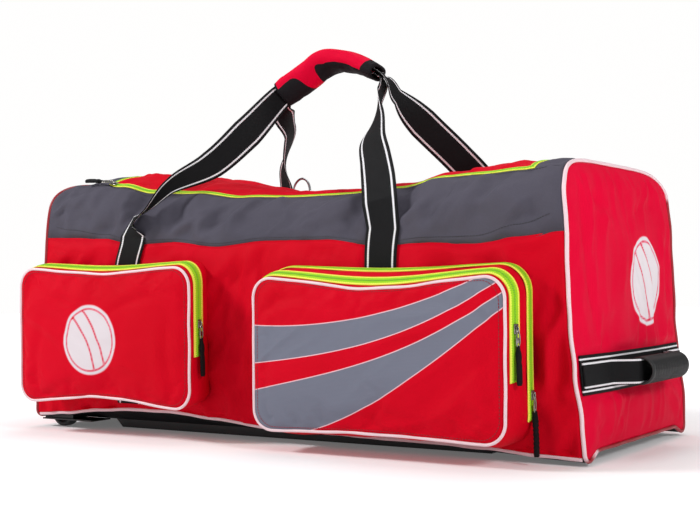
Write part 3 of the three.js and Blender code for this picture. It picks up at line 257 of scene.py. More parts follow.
def gridFaces(columns, rows, closed=False):
    # quads between neighbours of a grid, whose last column meets its first where it is closed
    i = np.arange(columns if closed else columns - 1)[:, None]
    j = np.arange(rows - 1)[None, :]
    after = (i + 1) % columns
    quads = np.stack([i * rows + j, after * rows + j, after * rows + j + 1, i * rows + j + 1], -1)
    return quads.reshape(-1, 4)


def inScene(name, data):
    # an object of this mesh, lamp or camera, in the scene
    made = bpy.data.objects.new(name, data)
    bpy.context.scene.collection.objects.link(made)
    return made


def addPiece(name, points, faces, look, replaces=(), marks=None, ride="bag", turnOut=True):
    # points in mm about the middle made a smooth mesh that rides a body, with marks as point attributes
    mesh = bpy.data.meshes.new(name)
    place = np.asarray(points, float).reshape(-1, 3) / 1000 + middle
    mesh.from_pydata(place.tolist(), [], faces.tolist() if isinstance(faces, np.ndarray) else faces)
    for mark, values in (marks or {}).items():
        layer = mesh.attributes.new(mark, "FLOAT", "POINT")
        layer.data.foreach_set("value", np.asarray(values, np.float32).ravel())
    if turnOut:
        work = bmesh.new()
        work.from_mesh(mesh)
        bmesh.ops.recalc_face_normals(work, faces=work.faces)
        work.to_mesh(mesh)
        work.free()
    mesh.polygons.foreach_set("use_smooth", np.ones(len(mesh.polygons), bool))
    mesh.update()
    piece = inScene(name, mesh)
    mesh.materials.append(look)
    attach(piece, ride)
    if replaces:
        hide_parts(*replaces)
    return piece


def gridNormals(grid, closed=False):
    # cross product of the grid's own steps
    if closed:
        along = np.roll(grid, -1, 0) - np.roll(grid, 1, 0)
    else:
        along = np.gradient(grid, axis=0)
    return unit(np.cross(along, np.gradient(grid, axis=1)))


def clothShell(name, grid, look, inner, replaces=(), marks=None, thickness=None, closed=False):
    # outer grid and a copy moved inwards along its normals, joined round the rim
    thickness = thickness or body["wall"]
    normals = gridNormals(grid, closed)
    if np.mean(np.sum(normals * (np.asarray(inner) - grid), -1)) < 0:
        normals = -normals
    columns, rows = grid.shape[:2]
    count = columns * rows
    outside = gridFaces(columns, rows, closed)
    faces = [outside, outside[:, ::-1] + count]
    i = np.arange(columns if closed else columns - 1)
    after = (i + 1) % columns
    for edge in (0, rows - 1):
        near, far = i * rows + edge, after * rows + edge
        faces.append(np.stack([near, far, far + count, near + count], -1))
    if not closed:
        j = np.arange(rows - 1)
        for edge in (0, (columns - 1) * rows):
            faces.append(np.stack([edge + j, edge + j + 1, edge + j + 1 + count, edge + j + count], -1))
    points = np.concatenate([grid.reshape(-1, 3), (grid + normals * thickness).reshape(-1, 3)])
    doubled = {mark: np.concatenate([np.ravel(v), np.ravel(v)]) for mark, v in (marks or {}).items()}
    return addPiece(name, points, np.concatenate(faces), look, replaces, doubled)


def loft(rings, closed=False):
    # solid through like rings (stations, points, 3), with fans over open ends
    stations, sides = rings.shape[:2]
    i = np.arange(stations if closed else stations - 1)[:, None]
    j = np.arange(sides)[None, :]
    after = (i + 1) % stations
    beside = (j + 1) % sides
    faces = np.stack([i * sides + j, after * sides + j, after * sides + beside, i * sides + beside], -1)
    faces = faces.reshape(-1, 4).tolist()
    if not closed:
        faces.append(list(range(sides)))
        faces.append(list(range((stations - 1) * sides, stations * sides)))
    return rings.reshape(-1, 3), faces


def tube(path, radius, sides=10, closed=False, up=None):
    # round rings square to a path
    if closed:
        run = unit(np.roll(path, -1, 0) - np.roll(path, 1, 0))
    else:
        run = unit(np.gradient(path, axis=0))
    up = np.asarray([0, 0, 1.0]) if up is None else np.asarray(up, float)
    side = unit(np.cross(run, np.broadcast_to(up, run.shape)))
    over = np.cross(side, run)
    turn = np.arange(sides) * 2 * np.pi / sides
    radius = np.broadcast_to(radius, (len(path),))[:, None, None]
    ring = np.cos(turn)[None, :, None] * side[:, None] + np.sin(turn)[None, :, None] * over[:, None]
    return loft(path[:, None] + radius * ring, closed)


def gather(parts):
    # several (points, faces) made one mesh
    shifted, start = [], 0
    for points, faces in parts:
        shifted += [(np.asarray(face) + start).tolist() for face in faces]
        start += len(points)
    return np.concatenate([points for points, faces in parts]), shifted


def block(size, bevel=0.0, segments=2):
    # box about the origin with rounded edges
    work = bmesh.new()
    bmesh.ops.create_cube(work, size=1)
    bmesh.ops.scale(work, vec=size, verts=work.verts)
    if bevel:
        bmesh.ops.bevel(work, geom=work.edges, offset=bevel, segments=segments, profile=0.6, affect="EDGES")
    points = np.array([vert.co[:] for vert in work.verts])
    faces = [[vert.index for vert in face.verts] for face in work.faces]
    work.free()
    return points, faces


def placed(shape, centre, run, normal):
    # a shape moved to centre, with its x along run and its z towards the normal
    run = unit(np.asarray(run, float))
    normal = np.asarray(normal, float)
    normal = unit(normal - run * np.dot(normal, run))
    across = np.cross(normal, run)
    points = shape[0] @ np.stack([run, across, normal]) + np.asarray(centre)
    return points, shape[1]


def repeated(shape, centres, runs, normals):
    # the same small shape at many places
    runs = unit(runs)
    normals = unit(normals - runs * np.sum(normals * runs, -1, keepdims=True))
    across = np.cross(normals, runs)
    axes = np.stack([runs, across, normals], 1)
    points = np.einsum("vk,nkc->nvc", shape[0], axes) + centres[:, None]
    faces = np.asarray(shape[1])
    step = np.arange(len(centres))[:, None, None] * len(shape[0])
    return points.reshape(-1, 3), (faces[None] + step).reshape(-1, faces.shape[1])


def runLengths(path):
    # distance along a path from its first point to each point
    return np.concatenate([[0], np.cumsum(np.linalg.norm(np.diff(path, axis=0), axis=1))])


def resample(path, pitch, *others):
    # places an even pitch apart on a path, with other rows carried along
    lengths = runLengths(path)
    places = np.arange(pitch / 2, lengths[-1], pitch)
    pick = lambda rows: np.stack([np.interp(places, lengths, rows[:, k]) for k in range(rows.shape[1])], 1)
    return [pick(path)] + [pick(other) for other in others]


def triangulated(shape):
    # the same shape cut into triangles
    work = bmesh.new()
    verts = [work.verts.new(p) for p in shape[0]]
    for face in shape[1]:
        work.faces.new([verts[k] for k in face])
    bmesh.ops.triangulate(work, faces=work.faces)
    work.verts.index_update()
    triangles = [[v.index for v in face.verts] for face in work.faces]
    work.free()
    return shape[0], triangles


def stitches(name, lines, look, pitch=4.2, long=3.0):
    # a row of short threads lying on each line of surface points, given with the outward normals there
    shape = triangulated(block((long, 0.9, 0.7), 0.25, 1))
    threads = []
    for points, normals in lines:
        centres, ups = resample(points, pitch, normals)
        threads.append(repeated(shape, centres + unit(ups) * 0.2, unit(np.gradient(centres, axis=0)), ups))
    points, faces = gather(threads)
    addPiece(name, points, faces, look, turnOut=False)

# looks


def newLook(name, colour, roughness, metallic=0.0):
    # Principled material of one colour, to which the nodes below add a pattern
    look = bpy.data.materials.new(name)
    look.use_nodes = True
    shader = look.node_tree.nodes["Principled BSDF"]
    shader.inputs["Base Color"].default_value = (*colour, 1)
    shader.inputs["Roughness"].default_value = roughness
    shader.inputs["Metallic"].default_value = metallic
    return look, look.node_tree, shader


def node(tree, kind, **settings):
    # a node with its sockets and its own settings given by name
    made = tree.nodes.new(kind)
    for key, value in settings.items():
        if key in made.inputs:
            made.inputs[key].default_value = value
        else:
            setattr(made, key, value)
    return made


def feed(tree, value, socket):
    # a number, a colour or another node's output put into a socket
    if isinstance(value, bpy.types.NodeSocket):
        tree.links.new(value, socket)
    else:
        socket.default_value = (*value, 1) if isinstance(value, tuple) else value


def calc(tree, operation, *values):
    # a Math node on numbers or outputs
    made = node(tree, "ShaderNodeMath", operation=operation)
    for k, value in enumerate(values):
        feed(tree, value, made.inputs[k])
    return made.outputs[0]


def mixColour(tree, factor, first, second):
    # the first colour where the factor is 0 and the second where it is 1
    made = node(tree, "ShaderNodeMix", data_type="RGBA")
    for k, value in ((0, factor), (6, first), (7, second)):
        feed(tree, value, made.inputs[k])
    return made.outputs[2]


def ranged(tree, value, low, high, start=0.0, end=1.0):
    # low to high mapped onto start to end, and held beyond
    limits = {"From Min": low, "From Max": high, "To Min": start, "To Max": end}
    made = node(tree, "ShaderNodeMapRange", **limits)
    feed(tree, value, made.inputs["Value"])
    return made.outputs[0]


def noise(tree, place, scale, detail):
    # cloudy noise from 0 to 1 at a place
    made = node(tree, "ShaderNodeTexNoise", Scale=scale, Detail=detail)
    feed(tree, place, made.inputs["Vector"])
    return made.outputs["Fac"]


def objectPlace(tree):
    return node(tree, "ShaderNodeTexCoord").outputs["Object"]


def marked(tree, name):
    return node(tree, "ShaderNodeAttribute", attribute_name=name).outputs["Fac"]


def bump(tree, shader, height, strength, distance):
    # a height pattern given to the shader's normal, with its depth in metres
    made = node(tree, "ShaderNodeBump", Strength=strength, Distance=distance)
    feed(tree, height, made.inputs["Height"])
    feed(tree, made.outputs["Normal"], shader.inputs["Normal"])


def clothLook(name, colour, shade, roughness=0.62, scale=190, strength=0.35):
    # coated weave: crossed sine threads and a fine noise as bump, two close colours mixed by a slow noise
    look, tree, shader = newLook(name, colour, roughness)
    shader.inputs["Specular IOR Level"].default_value = 0.04
    place = objectPlace(tree)
    threads = []
    for direction in ("X", "Y", "Z"):
        wave = node(tree, "ShaderNodeTexWave", bands_direction=direction, Scale=scale, Distortion=0.4)
        feed(tree, place, wave.inputs["Vector"])
        threads.append(wave.outputs["Fac"])
    weave = calc(tree, "MULTIPLY_ADD", threads[0], threads[2], calc(tree, "MULTIPLY", threads[1], 0.3))
    grain = noise(tree, place, scale * 3, 3)
    bump(tree, shader, calc(tree, "MULTIPLY_ADD", grain, 0.5, weave), strength, 0.0004)
    slow = calc(tree, "MULTIPLY_ADD", noise(tree, place, 7.0, 5), 1.6, -0.3)
    speckle = calc(tree, "ADD", slow, calc(tree, "MULTIPLY_ADD", grain, 0.5, -0.25))
    mixed = mixColour(tree, speckle, colour, shade)
    feed(tree, mixed, shader.inputs["Base Color"])
    return look, tree, shader, mixed


def printed(entry, ink, edge):
    # a printed shape with a thin edge: attribute print is the distance inside it, in mm
    look, tree, shader, ground = entry
    depth = marked(tree, "print")
    withEdge = mixColour(tree, ranged(tree, depth, -1.5, -0.9), ground, edge)
    withInk = mixColour(tree, ranged(tree, depth, -0.3, 0.3), withEdge, ink)
    feed(tree, withInk, shader.inputs["Base Color"])
    return look


def plainLook(name, colour, roughness, metallic=0.0, clouds=0.12, grain=900, strength=0.15):
    # one colour and roughness, both clouded by a noise, with a fine bump
    look, tree, shader = newLook(name, colour, roughness, metallic)
    place = objectPlace(tree)
    cloud = noise(tree, place, 60.0, 4)
    dark = tuple(value * (1 - clouds * 2) for value in colour)
    feed(tree, mixColour(tree, cloud, colour, dark), shader.inputs["Base Color"])
    feed(tree, calc(tree, "MULTIPLY_ADD", cloud, 0.2, roughness - 0.1), shader.inputs["Roughness"])
    bump(tree, shader, noise(tree, place, grain, 2), strength, 0.0002)
    return look


def bandLook(name, ground, stripe, stripeAt, stripeHalf, roughness=0.72, ribs=1.9):
    # woven band: attribute across runs from -1 to 1 over the width and along is in mm; a stripe beside each
    # edge has a zigzag rim, and ribs along times yarns across make the bump
    look, tree, shader = newLook(name, ground, roughness)
    shader.inputs["Specular IOR Level"].default_value = 0.15
    across, along = marked(tree, "across"), marked(tree, "along")
    wave = lambda pitch: calc(tree, "SINE", calc(tree, "MULTIPLY", along, 2 * math.pi / pitch))
    away = calc(tree, "ABSOLUTE", calc(tree, "SUBTRACT", calc(tree, "ABSOLUTE", across), stripeAt))
    rim = calc(tree, "MULTIPLY_ADD", wave(3.2), stripeHalf * 0.22, away)
    mask = calc(tree, "LESS_THAN", rim, stripeHalf)
    dark = tuple(value * 0.7 for value in ground)
    base = mixColour(tree, noise(tree, objectPlace(tree), 700.0, 2), ground, dark)
    feed(tree, mixColour(tree, mask, base, stripe), shader.inputs["Base Color"])
    yarn = calc(tree, "SINE", calc(tree, "MULTIPLY", across, 60.0))
    height = calc(tree, "MULTIPLY_ADD", wave(ribs), yarn, calc(tree, "MULTIPLY", mask, 1.2))
    bump(tree, shader, height, 0.45, 0.0004)
    return look


red, redShade = (0.63, 0.0010, 0.016), (0.54, 0.001, 0.010)
endRed, endShade = (0.72, 0.0012, 0.036), (0.62, 0.001, 0.026)
grey, greyShade = (0.092, 0.086, 0.112), (0.066, 0.062, 0.082)
black, blackShade = (0.006, 0.006, 0.007), (0.011, 0.011, 0.012)
silver, blush = (0.165, 0.175, 0.225), (0.78, 0.50, 0.55)
paleEdge, darkEdge, thread = (0.80, 0.60, 0.64), (0.30, 0.002, 0.010), (0.78, 0.77, 0.80)
redLook = clothLook("redCloth", red, redShade)[0]
redPrint = printed(clothLook("redPrinted", red, redShade), silver, blush)
emblemPrint = printed(clothLook("redEmblem", red, redShade), (0.68, 0.62, 0.65), (0.70, 0.22, 0.28))
endLook = printed(clothLook("endCloth", endRed, endShade), (0.74, 0.68, 0.71), (0.76, 0.26, 0.34))
greyLook = clothLook("greyCloth", grey, greyShade, roughness=0.7)[0]
blackCloth = clothLook("blackCloth", black, blackShade, roughness=0.6)[0]
pipingLook = plainLook("piping", paleEdge, 0.42, clouds=0.03)
endPipingLook, pipingTree, pipingShader = newLook("endPiping", paleEdge, 0.42)
pipingColour = mixColour(pipingTree, marked(pipingTree, "pale"), darkEdge, paleEdge)
feed(pipingTree, pipingColour, pipingShader.inputs["Base Color"])
chromeLook = plainLook("chrome", (0.62, 0.62, 0.64), 0.22, metallic=1.0, clouds=0.08, strength=0.03)
darkMetal = plainLook("darkMetal", (0.30, 0.285, 0.26), 0.28, metallic=1.0, clouds=0.1, strength=0.05)
rubberLook = plainLook("rubber", (0.009, 0.009, 0.010), 0.55, clouds=0.2, grain=1500)
plasticLook = plainLook("plastic", (0.010, 0.010, 0.011), 0.42, clouds=0.15)
threadLook = plainLook("thread", (0.30, 0.003, 0.014), 0.7)
darkThread = plainLook("darkThread", (0.03, 0.028, 0.035), 0.7)
teethLook = plainLook("zipTeeth", (0.20, 0.50, 0.015), 0.45, clouds=0.05)
webbingLook = bandLook("webbing", black, thread, 0.76, 0.055)
plainWebbing = bandLook("plainWebbing", black, (0.007, 0.007, 0.008), 3.0, 0.01)
zipLook = bandLook("zipTape", (0.38, 0.78, 0.02), (0.86, 0.88, 0.10), 0.95, 0.30, ribs=1.2)
print("looks made")

clothSettings = {
    "quality": 4, "mass": 0.25, "tension_stiffness": 20, "compression_stiffness": 20, "shear_stiffness": 8,
    "bending_stiffness": 0.25, "vertex_group_mass": "rim", "shrink_min": -0.035, "use_pressure": True,
    "uniform_pressure_force": 3.0}
clothFrames = 18


def settled(name, grid, step=3, closed=False, cap=3.5, inner=core):
    # a coarser copy of the grid is run as Blender cloth, a little too large for its pinned rim and with
    # pressure behind it; how far it moves along the grid's normals is eased to a cap and returned on the
    # fine grid, in mm
    columns = np.arange(0, grid.shape[0], step)
    if not closed and columns[-1] != grid.shape[0] - 1:
        columns = np.append(columns, grid.shape[0] - 1)
    rows = np.unique(np.append(np.arange(0, grid.shape[1], step), grid.shape[1] - 1))
    coarse = grid[np.ix_(columns, rows)]
    normals = gridNormals(coarse, closed)
    if np.mean(np.sum(normals * (coarse - np.asarray(inner)), -1)) < 0:
        normals = -normals
    uneven = np.random.default_rng(len(name)).normal(0, 0.25, coarse.shape[:2])
    start = (coarse + normals * uneven[..., None]).reshape(-1, 3) / 1000
    mesh = bpy.data.meshes.new(name + "Cloth")
    mesh.from_pydata(start.tolist(), [], gridFaces(len(columns), len(rows), closed).tolist())
    mesh.update()
    sheet = inScene(name + "Cloth", mesh)
    if np.sum(np.array(mesh.polygons[0].normal) * normals[0, 0]) < 0:
        mesh.flip_normals()
    pinned = np.zeros(coarse.shape[:2], bool)
    pinned[:, 0] = pinned[:, -1] = True
    if not closed:
        pinned[0, :] = pinned[-1, :] = True
    rim = sheet.vertex_groups.new(name="rim")
    rim.add(np.flatnonzero(pinned.ravel()).tolist(), 1.0, "REPLACE")
    settings = sheet.modifiers.new("cloth", "CLOTH").settings
    for key, value in clothSettings.items():
        setattr(settings, key, value)
    settings.effector_weights.gravity = 0
    for frameNumber in range(1, clothFrames + 1):
        bpy.context.scene.frame_set(frameNumber)
    shaped = sheet.evaluated_get(bpy.context.evaluated_depsgraph_get()).to_mesh()
    moved = np.empty(len(shaped.vertices) * 3, np.float32)
    shaped.vertices.foreach_get("co", moved)
    lift = np.sum((moved.reshape(coarse.shape) * 1000 - coarse) * normals, -1)
    bpy.data.objects.remove(sheet)
    bpy.data.meshes.remove(mesh)
    bpy.context.scene.frame_set(1)
    lift = cap * np.tanh(lift / cap)
    print("  settled %s, %.1f to %.1f mm" % (name, lift.min(), lift.max()))
    if closed:
        columns = np.append(columns, grid.shape[0])
        lift = np.concatenate([lift, lift[:1]])
    wide = np.stack([np.interp(np.arange(grid.shape[0]), columns, line) for line in lift.T], 1)
    fine = np.stack([np.interp(np.arange(grid.shape[1]), rows, line) for line in wide])
    # two smoothing passes take out the facets of the coarse grid
    for again in range(2):
        padded = np.pad(fine, 1, mode="edge")
        beside = padded[:-2, 1:-1] + padded[2:, 1:-1] + padded[1:-1, :-2] + padded[1:-1, 2:]
        fine = (beside + 2 * fine) / 6
    return fine

# body panels: grids over at (along) and turn (round)

sideFoot = -0.5 + (piping["radius"] + gap) / (body["corner"] - piping["sink"]) * 2 / np.pi
footTurn = lambda at: np.full_like(at, sideFoot - 0.03)
seamTurn = lambda at: levelAt(at, section(at, "seam") * body["height"])
zipTurn = lambda at: levelAt(at, section(at, "zip") * body["height"])

wallCreases = [
    # x, z, heading, length, width, depth
    (-52, 210, 97, 70, 11, 3.4), (-30, 120, 82, 60, 9, 2.6), (-8, 230, 104, 50, 8, 2.4),
    (-80, 150, 90, 80, 14, 2.2), (405, 190, 78, 70, 12, 3.0), (432, 110, 96, 55, 9, 2.6),
    (440, 230, 70, 46, 9, 2.2), (418, 60, 84, 40, 10, 2.4), (446, 160, 62, 36, 7, 1.8),
    (300, 262, 12, 60, 7, 1.5), (-210, 280, 8, 60, 7, 1.4), (-400, 250, 66, 50, 9, 1.8),
    (-445, 170, 88, 60, 9, 1.8), (100, 268, -14, 50, 8, 1.5)]
rearCreases = [(-x, z, 180 - heading, *sizes) for x, z, heading, *sizes in wallCreases]
shoulderCreases = [
    (-410, 340, 20, 46, 8, 2.6), (-380, 372, 8, 50, 7, 2.2), (-350, 330, -24, 44, 8, 2.0),
    (-430, 318, 60, 36, 8, 2.0), (-190, 330, 75, 34, 12, 2.4), (-150, 318, 100, 32, 10, 2.0),
    (-60, 330, 84, 34, 13, 2.2), (30, 322, 96, 32, 12, 1.8), (130, 330, 70, 30, 12, 2.2),
    (250, 325, 108, 34, 10, 2.4), (330, 335, 60, 40, 9, 2.2), (400, 330, 110, 40, 8, 2.0),
    (290, 350, 14, 60, 8, 1.6), (-255, 345, 40, 40, 9, 1.8)]
lidCreases = [
    # x, y, heading, length, width, depth
    (-200, 40, 20, 90, 16, 3.0), (-60, -50, 80, 70, 18, 3.0), (80, 60, 110, 80, 20, 3.4),
    (180, -40, 60, 70, 16, 2.6), (300, 50, 100, 60, 15, 2.4), (-290, -40, 70, 60, 14, 2.4),
    (10, 10, 10, 120, 20, 2.6)]


def panelGrid(lines, turnLow, turnHigh, rows, creaseRows, seed, side=None, amount=5.6, rimFade=18):
    # surface over at (the lines) and a share of the way between two turns, pushed out by creases, crumple
    # and settled lift, which fade to the seams, and by the puff between them; a panel with a side is read
    # by x and z, one on the top by x and y
    at = lines[:, None]
    share = np.linspace(0, 1, rows)[None, :]
    low, high = turnLow(lines)[:, None], turnHigh(lines)[:, None]
    turn = low + (high - low) * share
    flat = onSkin(at, turn, 0)
    x, z = flat[..., 0], flat[..., 2 if side else 1]
    rim = np.minimum(share, 1 - share) * rows * 4.5
    ends = np.minimum(at - lines[0], lines[-1] - at) * halfLength
    fade = smooth(0, rimFade, rim) * smooth(0, rimFade, ends)
    puff = 1.1 * (np.clip(rim / 16, 0, 1) * np.clip(ends / 16, 0, 1)) ** 0.5 - 0.7
    relief = 1.4 * creases(x, z, creaseRows) + 0.2 * ripple(x, z, seed + 1, 26.25)
    relief = relief + amount * crumple(x, z, seed, 84)
    push = (relief + settled("panel%d" % seed, flat, cap=2.6)) * fade
    if side:
        # under the sewn webbing the cloth only sinks, so the straps stay clear of it
        feet = [straps[side + word] for word in ("Left", "Right")]
        near = np.max([1 - smooth(25, 36, np.abs(x - foot)) for foot in feet], 0)
        near = near * (1 - smooth(webbing["top"] - 4, webbing["top"] + 30, z))
        push = push + (np.minimum(0.3 * push, 0.1) - 0.4 - push) * near
    return onSkin(at, turn, push + puff)


def mirrored(line):
    # the same line on the far side
    return lambda at: 4 - line(at)


def beyond(line, distance):
    # a line moved a distance in mm round the section
    return lambda at: turnBeyond(at, line(at), distance)


panelEnd = 1.002
zipSide = (lidEdge - 0.4) / halfLength
panelLines = np.linspace(-panelEnd, panelEnd, 216)
headTurn = beyond(seamTurn, 0)
wall = panelGrid(panelLines, footTurn, headTurn, 62, wallCreases, 11, "front")
clothShell("frontCloth", wall, redLook, core, ["front_panel"])
wall = panelGrid(panelLines, mirrored(headTurn), mirrored(footTurn), 62, rearCreases, 12, "rear")
clothShell("backCloth", wall, redLook, core, ["back_panel"])

bandFoot = beyond(seamTurn, -0.6)
bandHead = beyond(zipTurn, -lidEdge)
shoulder = panelGrid(panelLines, bandFoot, bandHead, 26, shoulderCreases, 21, "front", 6.0, 12)
clothShell("frontShoulder", shoulder, greyLook, core, ["shoulder_front"])
out = gridNormals(shoulder)
out = out * np.sign(np.mean(out[..., 2]))
seams = [(shoulder[4:-4, row], out[4:-4, row]) for row in (1, -2)]
stitches("seamStitches", seams, darkThread)
bandHead, bandFoot = mirrored(bandFoot), mirrored(bandHead)
shoulder = panelGrid(panelLines, bandFoot, bandHead, 26, shoulderCreases, 22, "rear", 6.0, 12)
clothShell("rearShoulder", shoulder, greyLook, core, ["shoulder_rear"])

lidLow = beyond(zipTurn, lidEdge - 0.6)
lidHigh = mirrored(beyond(zipTurn, -lidEdge + gap))
lidLines = np.linspace(body["lidLeft"] + zipSide, body["lidRight"] - zipSide, 170)
lid = panelGrid(lidLines, lidLow, lidHigh, 74, lidCreases, 31, amount=4.2)
clothShell("lidCloth", lid, redLook, core, ["lid_panel"])
stripLow = beyond(zipTurn, -lidEdge + gap)
for word, lines in (("Left", np.linspace(-panelEnd, body["lidLeft"] - zipSide, 26)),
                    ("Right", np.linspace(body["lidRight"] + zipSide, panelEnd, 14))):
    strip = panelGrid(lines, stripLow, lidHigh, 74, lidCreases, 33, amount=2.0, rimFade=10)
    clothShell("topStrip" + word, strip, greyLook, core, ["top_strip_" + word.lower()])
print("panels made")

# ends: rows of the section's outline, filled from a square so that no pole shows

endHandle = {"z": 112, "baseWidth": 50, "baseThick": 1.8, "clear": 1.2, "strapWidth": 34, "strapThick": 3,
             "length": 148, "diameter": 37, "standoff": 31, "swing": 34, "inset": 4, "pressed": 32}
endBall = (52.0, 228.0, 62.0)  # y, z and radius of the ball on the right end


def endLoop(side, count, inset, sink):
    # outline of the section at an end, drawn in by inset and sunk into the end
    turns = np.linspace(-2, 2, count // 2 + 1)
    whole = np.concatenate([turns, 4 - turns[1:-1][::-1]])
    at = np.full(len(whole), float(side))
    out = skinNormal(at, whole, 0)
    out[:, 0] = 0
    points = skin(at, whole, 0) - unit(out) * inset
    points[:, 0] = side * (endReach(side, points[:, 2]) - sink)
    return points


def evenLoop(points, count):
    # points an even distance apart on a closed line
    ring = np.concatenate([points, points[:1]])
    lengths = runLengths(ring)
    places = np.linspace(0, lengths[-1], count, endpoint=False)
    return np.stack([np.interp(places, lengths, ring[:, k]) for k in range(3)], 1)


def squareFill(outline, hub, size):
    # a square grid whose rim follows the outline: each ray from the hub is cut in even steps
    s, t = np.meshgrid(np.linspace(-1, 1, size), np.linspace(-1, 1, size), indexing="ij")
    reach = np.maximum(np.abs(s), np.abs(t))
    safe = np.maximum(reach, 1e-9)
    angle = np.arctan2(t / safe, s / safe)
    rel = outline - hub
    spanY = np.max(np.abs(rel[:, 0]))
    spanZ = np.max(np.abs(rel[:, 1]))
    outlineAngle = np.unwrap(np.arctan2(rel[:, 1] / spanZ, rel[:, 0] / spanY))
    if outlineAngle[-1] < outlineAngle[0]:
        outlineAngle = outlineAngle[::-1]
        rel = rel[::-1]
    base = outlineAngle[0]
    turned = (angle - base) % (2 * np.pi) + base
    keys = np.append(outlineAngle, base + 2 * np.pi)
    y = np.interp(turned, keys, np.append(rel[:, 0], rel[0, 0]))
    z = np.interp(turned, keys, np.append(rel[:, 1], rel[0, 1]))
    return hub[0] + reach * y, hub[1] + reach * z, reach


def ballSign(x, z, centreX, centreZ, radius):
    # distance inside a plain disc that two bowed seams part, with a thin band round it
    turn = math.radians(28)
    u, w = (x - centreX) / radius, (z - centreZ) / radius
    u, w = u * math.cos(turn) + w * math.sin(turn), w * math.cos(turn) - u * math.sin(turn)
    reach = np.hypot(u, w)
    seams = np.abs(np.abs(u + 0.2 * w ** 2 - 0.1) - 0.2) - 0.04
    band = 0.035 - np.abs(reach - 0.96)
    return radius * np.maximum(np.minimum(0.86 - reach, seams), band)


endCreases = [
    # y, z, heading, length, width, depth
    (-150, 250, 96, 90, 10, 2.4), (-120, 120, 70, 60, 10, 2.0), (150, 240, 84, 80, 10, 2.2),
    (60, 330, 12, 60, 9, 1.8), (-60, 60, 30, 60, 10, 2.0), (110, 60, -30, 60, 10, 1.8),
    (-90, 330, 150, 50, 9, 2.0), (0, 200, 80, 90, 22, 1.4)]
for side, word in ((1, "Right"), (-1, "Left")):
    loop = evenLoop(endLoop(side, 400, pipingRoom - 1.6, 0), 480)
    y, z, reach = squareFill(loop[:, 1:], np.array([0.0, 195.0]), 132 if side > 0 else 96)
    fade = smooth(0, 0.12, 1 - reach)
    bulge = body["endBulge"] * body["depth"] * (1 - reach ** 2)
    folds = 1.4 * creases(y, z, endCreases) + 4.2 * crumple(y, z, 41 + side, 96, lean=70)
    push = bulge + 1.6 * (1 - reach ** 10) - 1.2 + fade * (folds + 0.2 * ripple(y, z, 44, 24))
    # pressed in under the webbing of the right end
    under = (side > 0) * np.exp(-(np.abs(z - endHandle["z"]) / endHandle["pressed"]) ** 8)
    push = push * (1 - under) + under * (bulge - 1.4)
    flat = np.stack([side * (endReach(side, z) + push), y, z], -1)
    push = push + fade * (1 - under) * settled("end" + word, flat, cap=2.4)
    grid = np.stack([side * (endReach(side, z) + push), y, z], -1)
    sign = ballSign(y, z, *endBall) if side > 0 else np.full(y.shape, -99.0)
    clothShell("endCloth" + word, grid, endLook, core, ["end_panel_" + word.lower()], {"print": sign})

    loop = evenLoop(endLoop(side, 460, piping["sink"], piping["sink"]), 420)
    loop[:, 0] += side * 0.5 * ripple(loop[:, 1], loop[:, 2], 50, 60)
    points, faces = tube(loop, piping["radius"] - 0.7, 10, True, up=(1, 0, 0))
    # pale at the front and over the top of the right end, dark elsewhere
    pale = np.minimum(smooth(-150, -156, loop[:, 1]) + smooth(345, 352, loop[:, 2]), 1)
    pale = pale * smooth(6, 12, loop[:, 2]) * (side > 0)
    marks = {"pale": np.repeat(pale, 10)}
    addPiece("endPiping" + word, points, faces, endPipingLook, ["end_piping_" + word.lower()], marks)

for side, word in ((-1, "Front"), (1, "Rear")):
    at = np.linspace(-1, 1, 260)
    turn = np.full_like(at, -0.5 if side < 0 else 4.5)
    normal = skinNormal(at, turn, pipingRoom)
    path = skin(at, turn, pipingRoom + gap) - normal * piping["sink"]
    path = path + normal * (0.35 * ripple(path[:, 0], path[:, 2], 52, 60))[:, None]
    points, faces = tube(path, piping["radius"] - 0.3, 10)
    addPiece("basePiping" + word, points, faces, pipingLook, ["base_piping_" + word.lower()])


def zipTeeth(path, normals, pitch=2.6, wide=3.4):
    # coil turns of both rows as small slanted bars across the tape
    centres, ups = resample(path, pitch, normals)
    runs = unit(np.gradient(centres, axis=0))
    shape = triangulated(block((1.5, wide, 1.3), 0.35, 1))
    return repeated(shape, centres + unit(ups) * 0.5, runs, ups)


def bandMarks(share, path):
    # attributes of a band's section that goes over and back: across, and along in mm
    both = np.concatenate([share, share[::-1]])
    shape = (len(path), len(both))
    along = runLengths(path)[:, None]
    return {"across": np.broadcast_to(both, shape), "along": np.broadcast_to(along, shape)}


def zipBand(name, insides, outsides, normals, replaces, thickness=1.0):
    # tape between two edges with a low Gaussian swell either side of the teeth
    share = np.linspace(0, 1, 13)
    swell = 0.9 * np.exp(-((np.abs(share - 0.5) - 0.19) / 0.08) ** 2)
    hollow = 0.25 * np.exp(-((share - 0.5) / 0.05) ** 2)
    between = lambda part: insides[:, None] * (1 - part[:, None]) + outsides[:, None] * part[:, None]
    top = between(share) + normals[:, None] * (0.35 + swell - hollow)[None, :, None]
    under = between(share[::-1]) - normals[:, None] * thickness
    line = (insides + outsides) / 2
    points, faces = loft(np.concatenate([top, under], 1))
    addPiece(name, points, faces, zipLook, replaces, bandMarks(share * 2 - 1, line))
    points, faces = zipTeeth(line, normals)
    addPiece(name + "Teeth", points, faces, teethLook, turnOut=False)


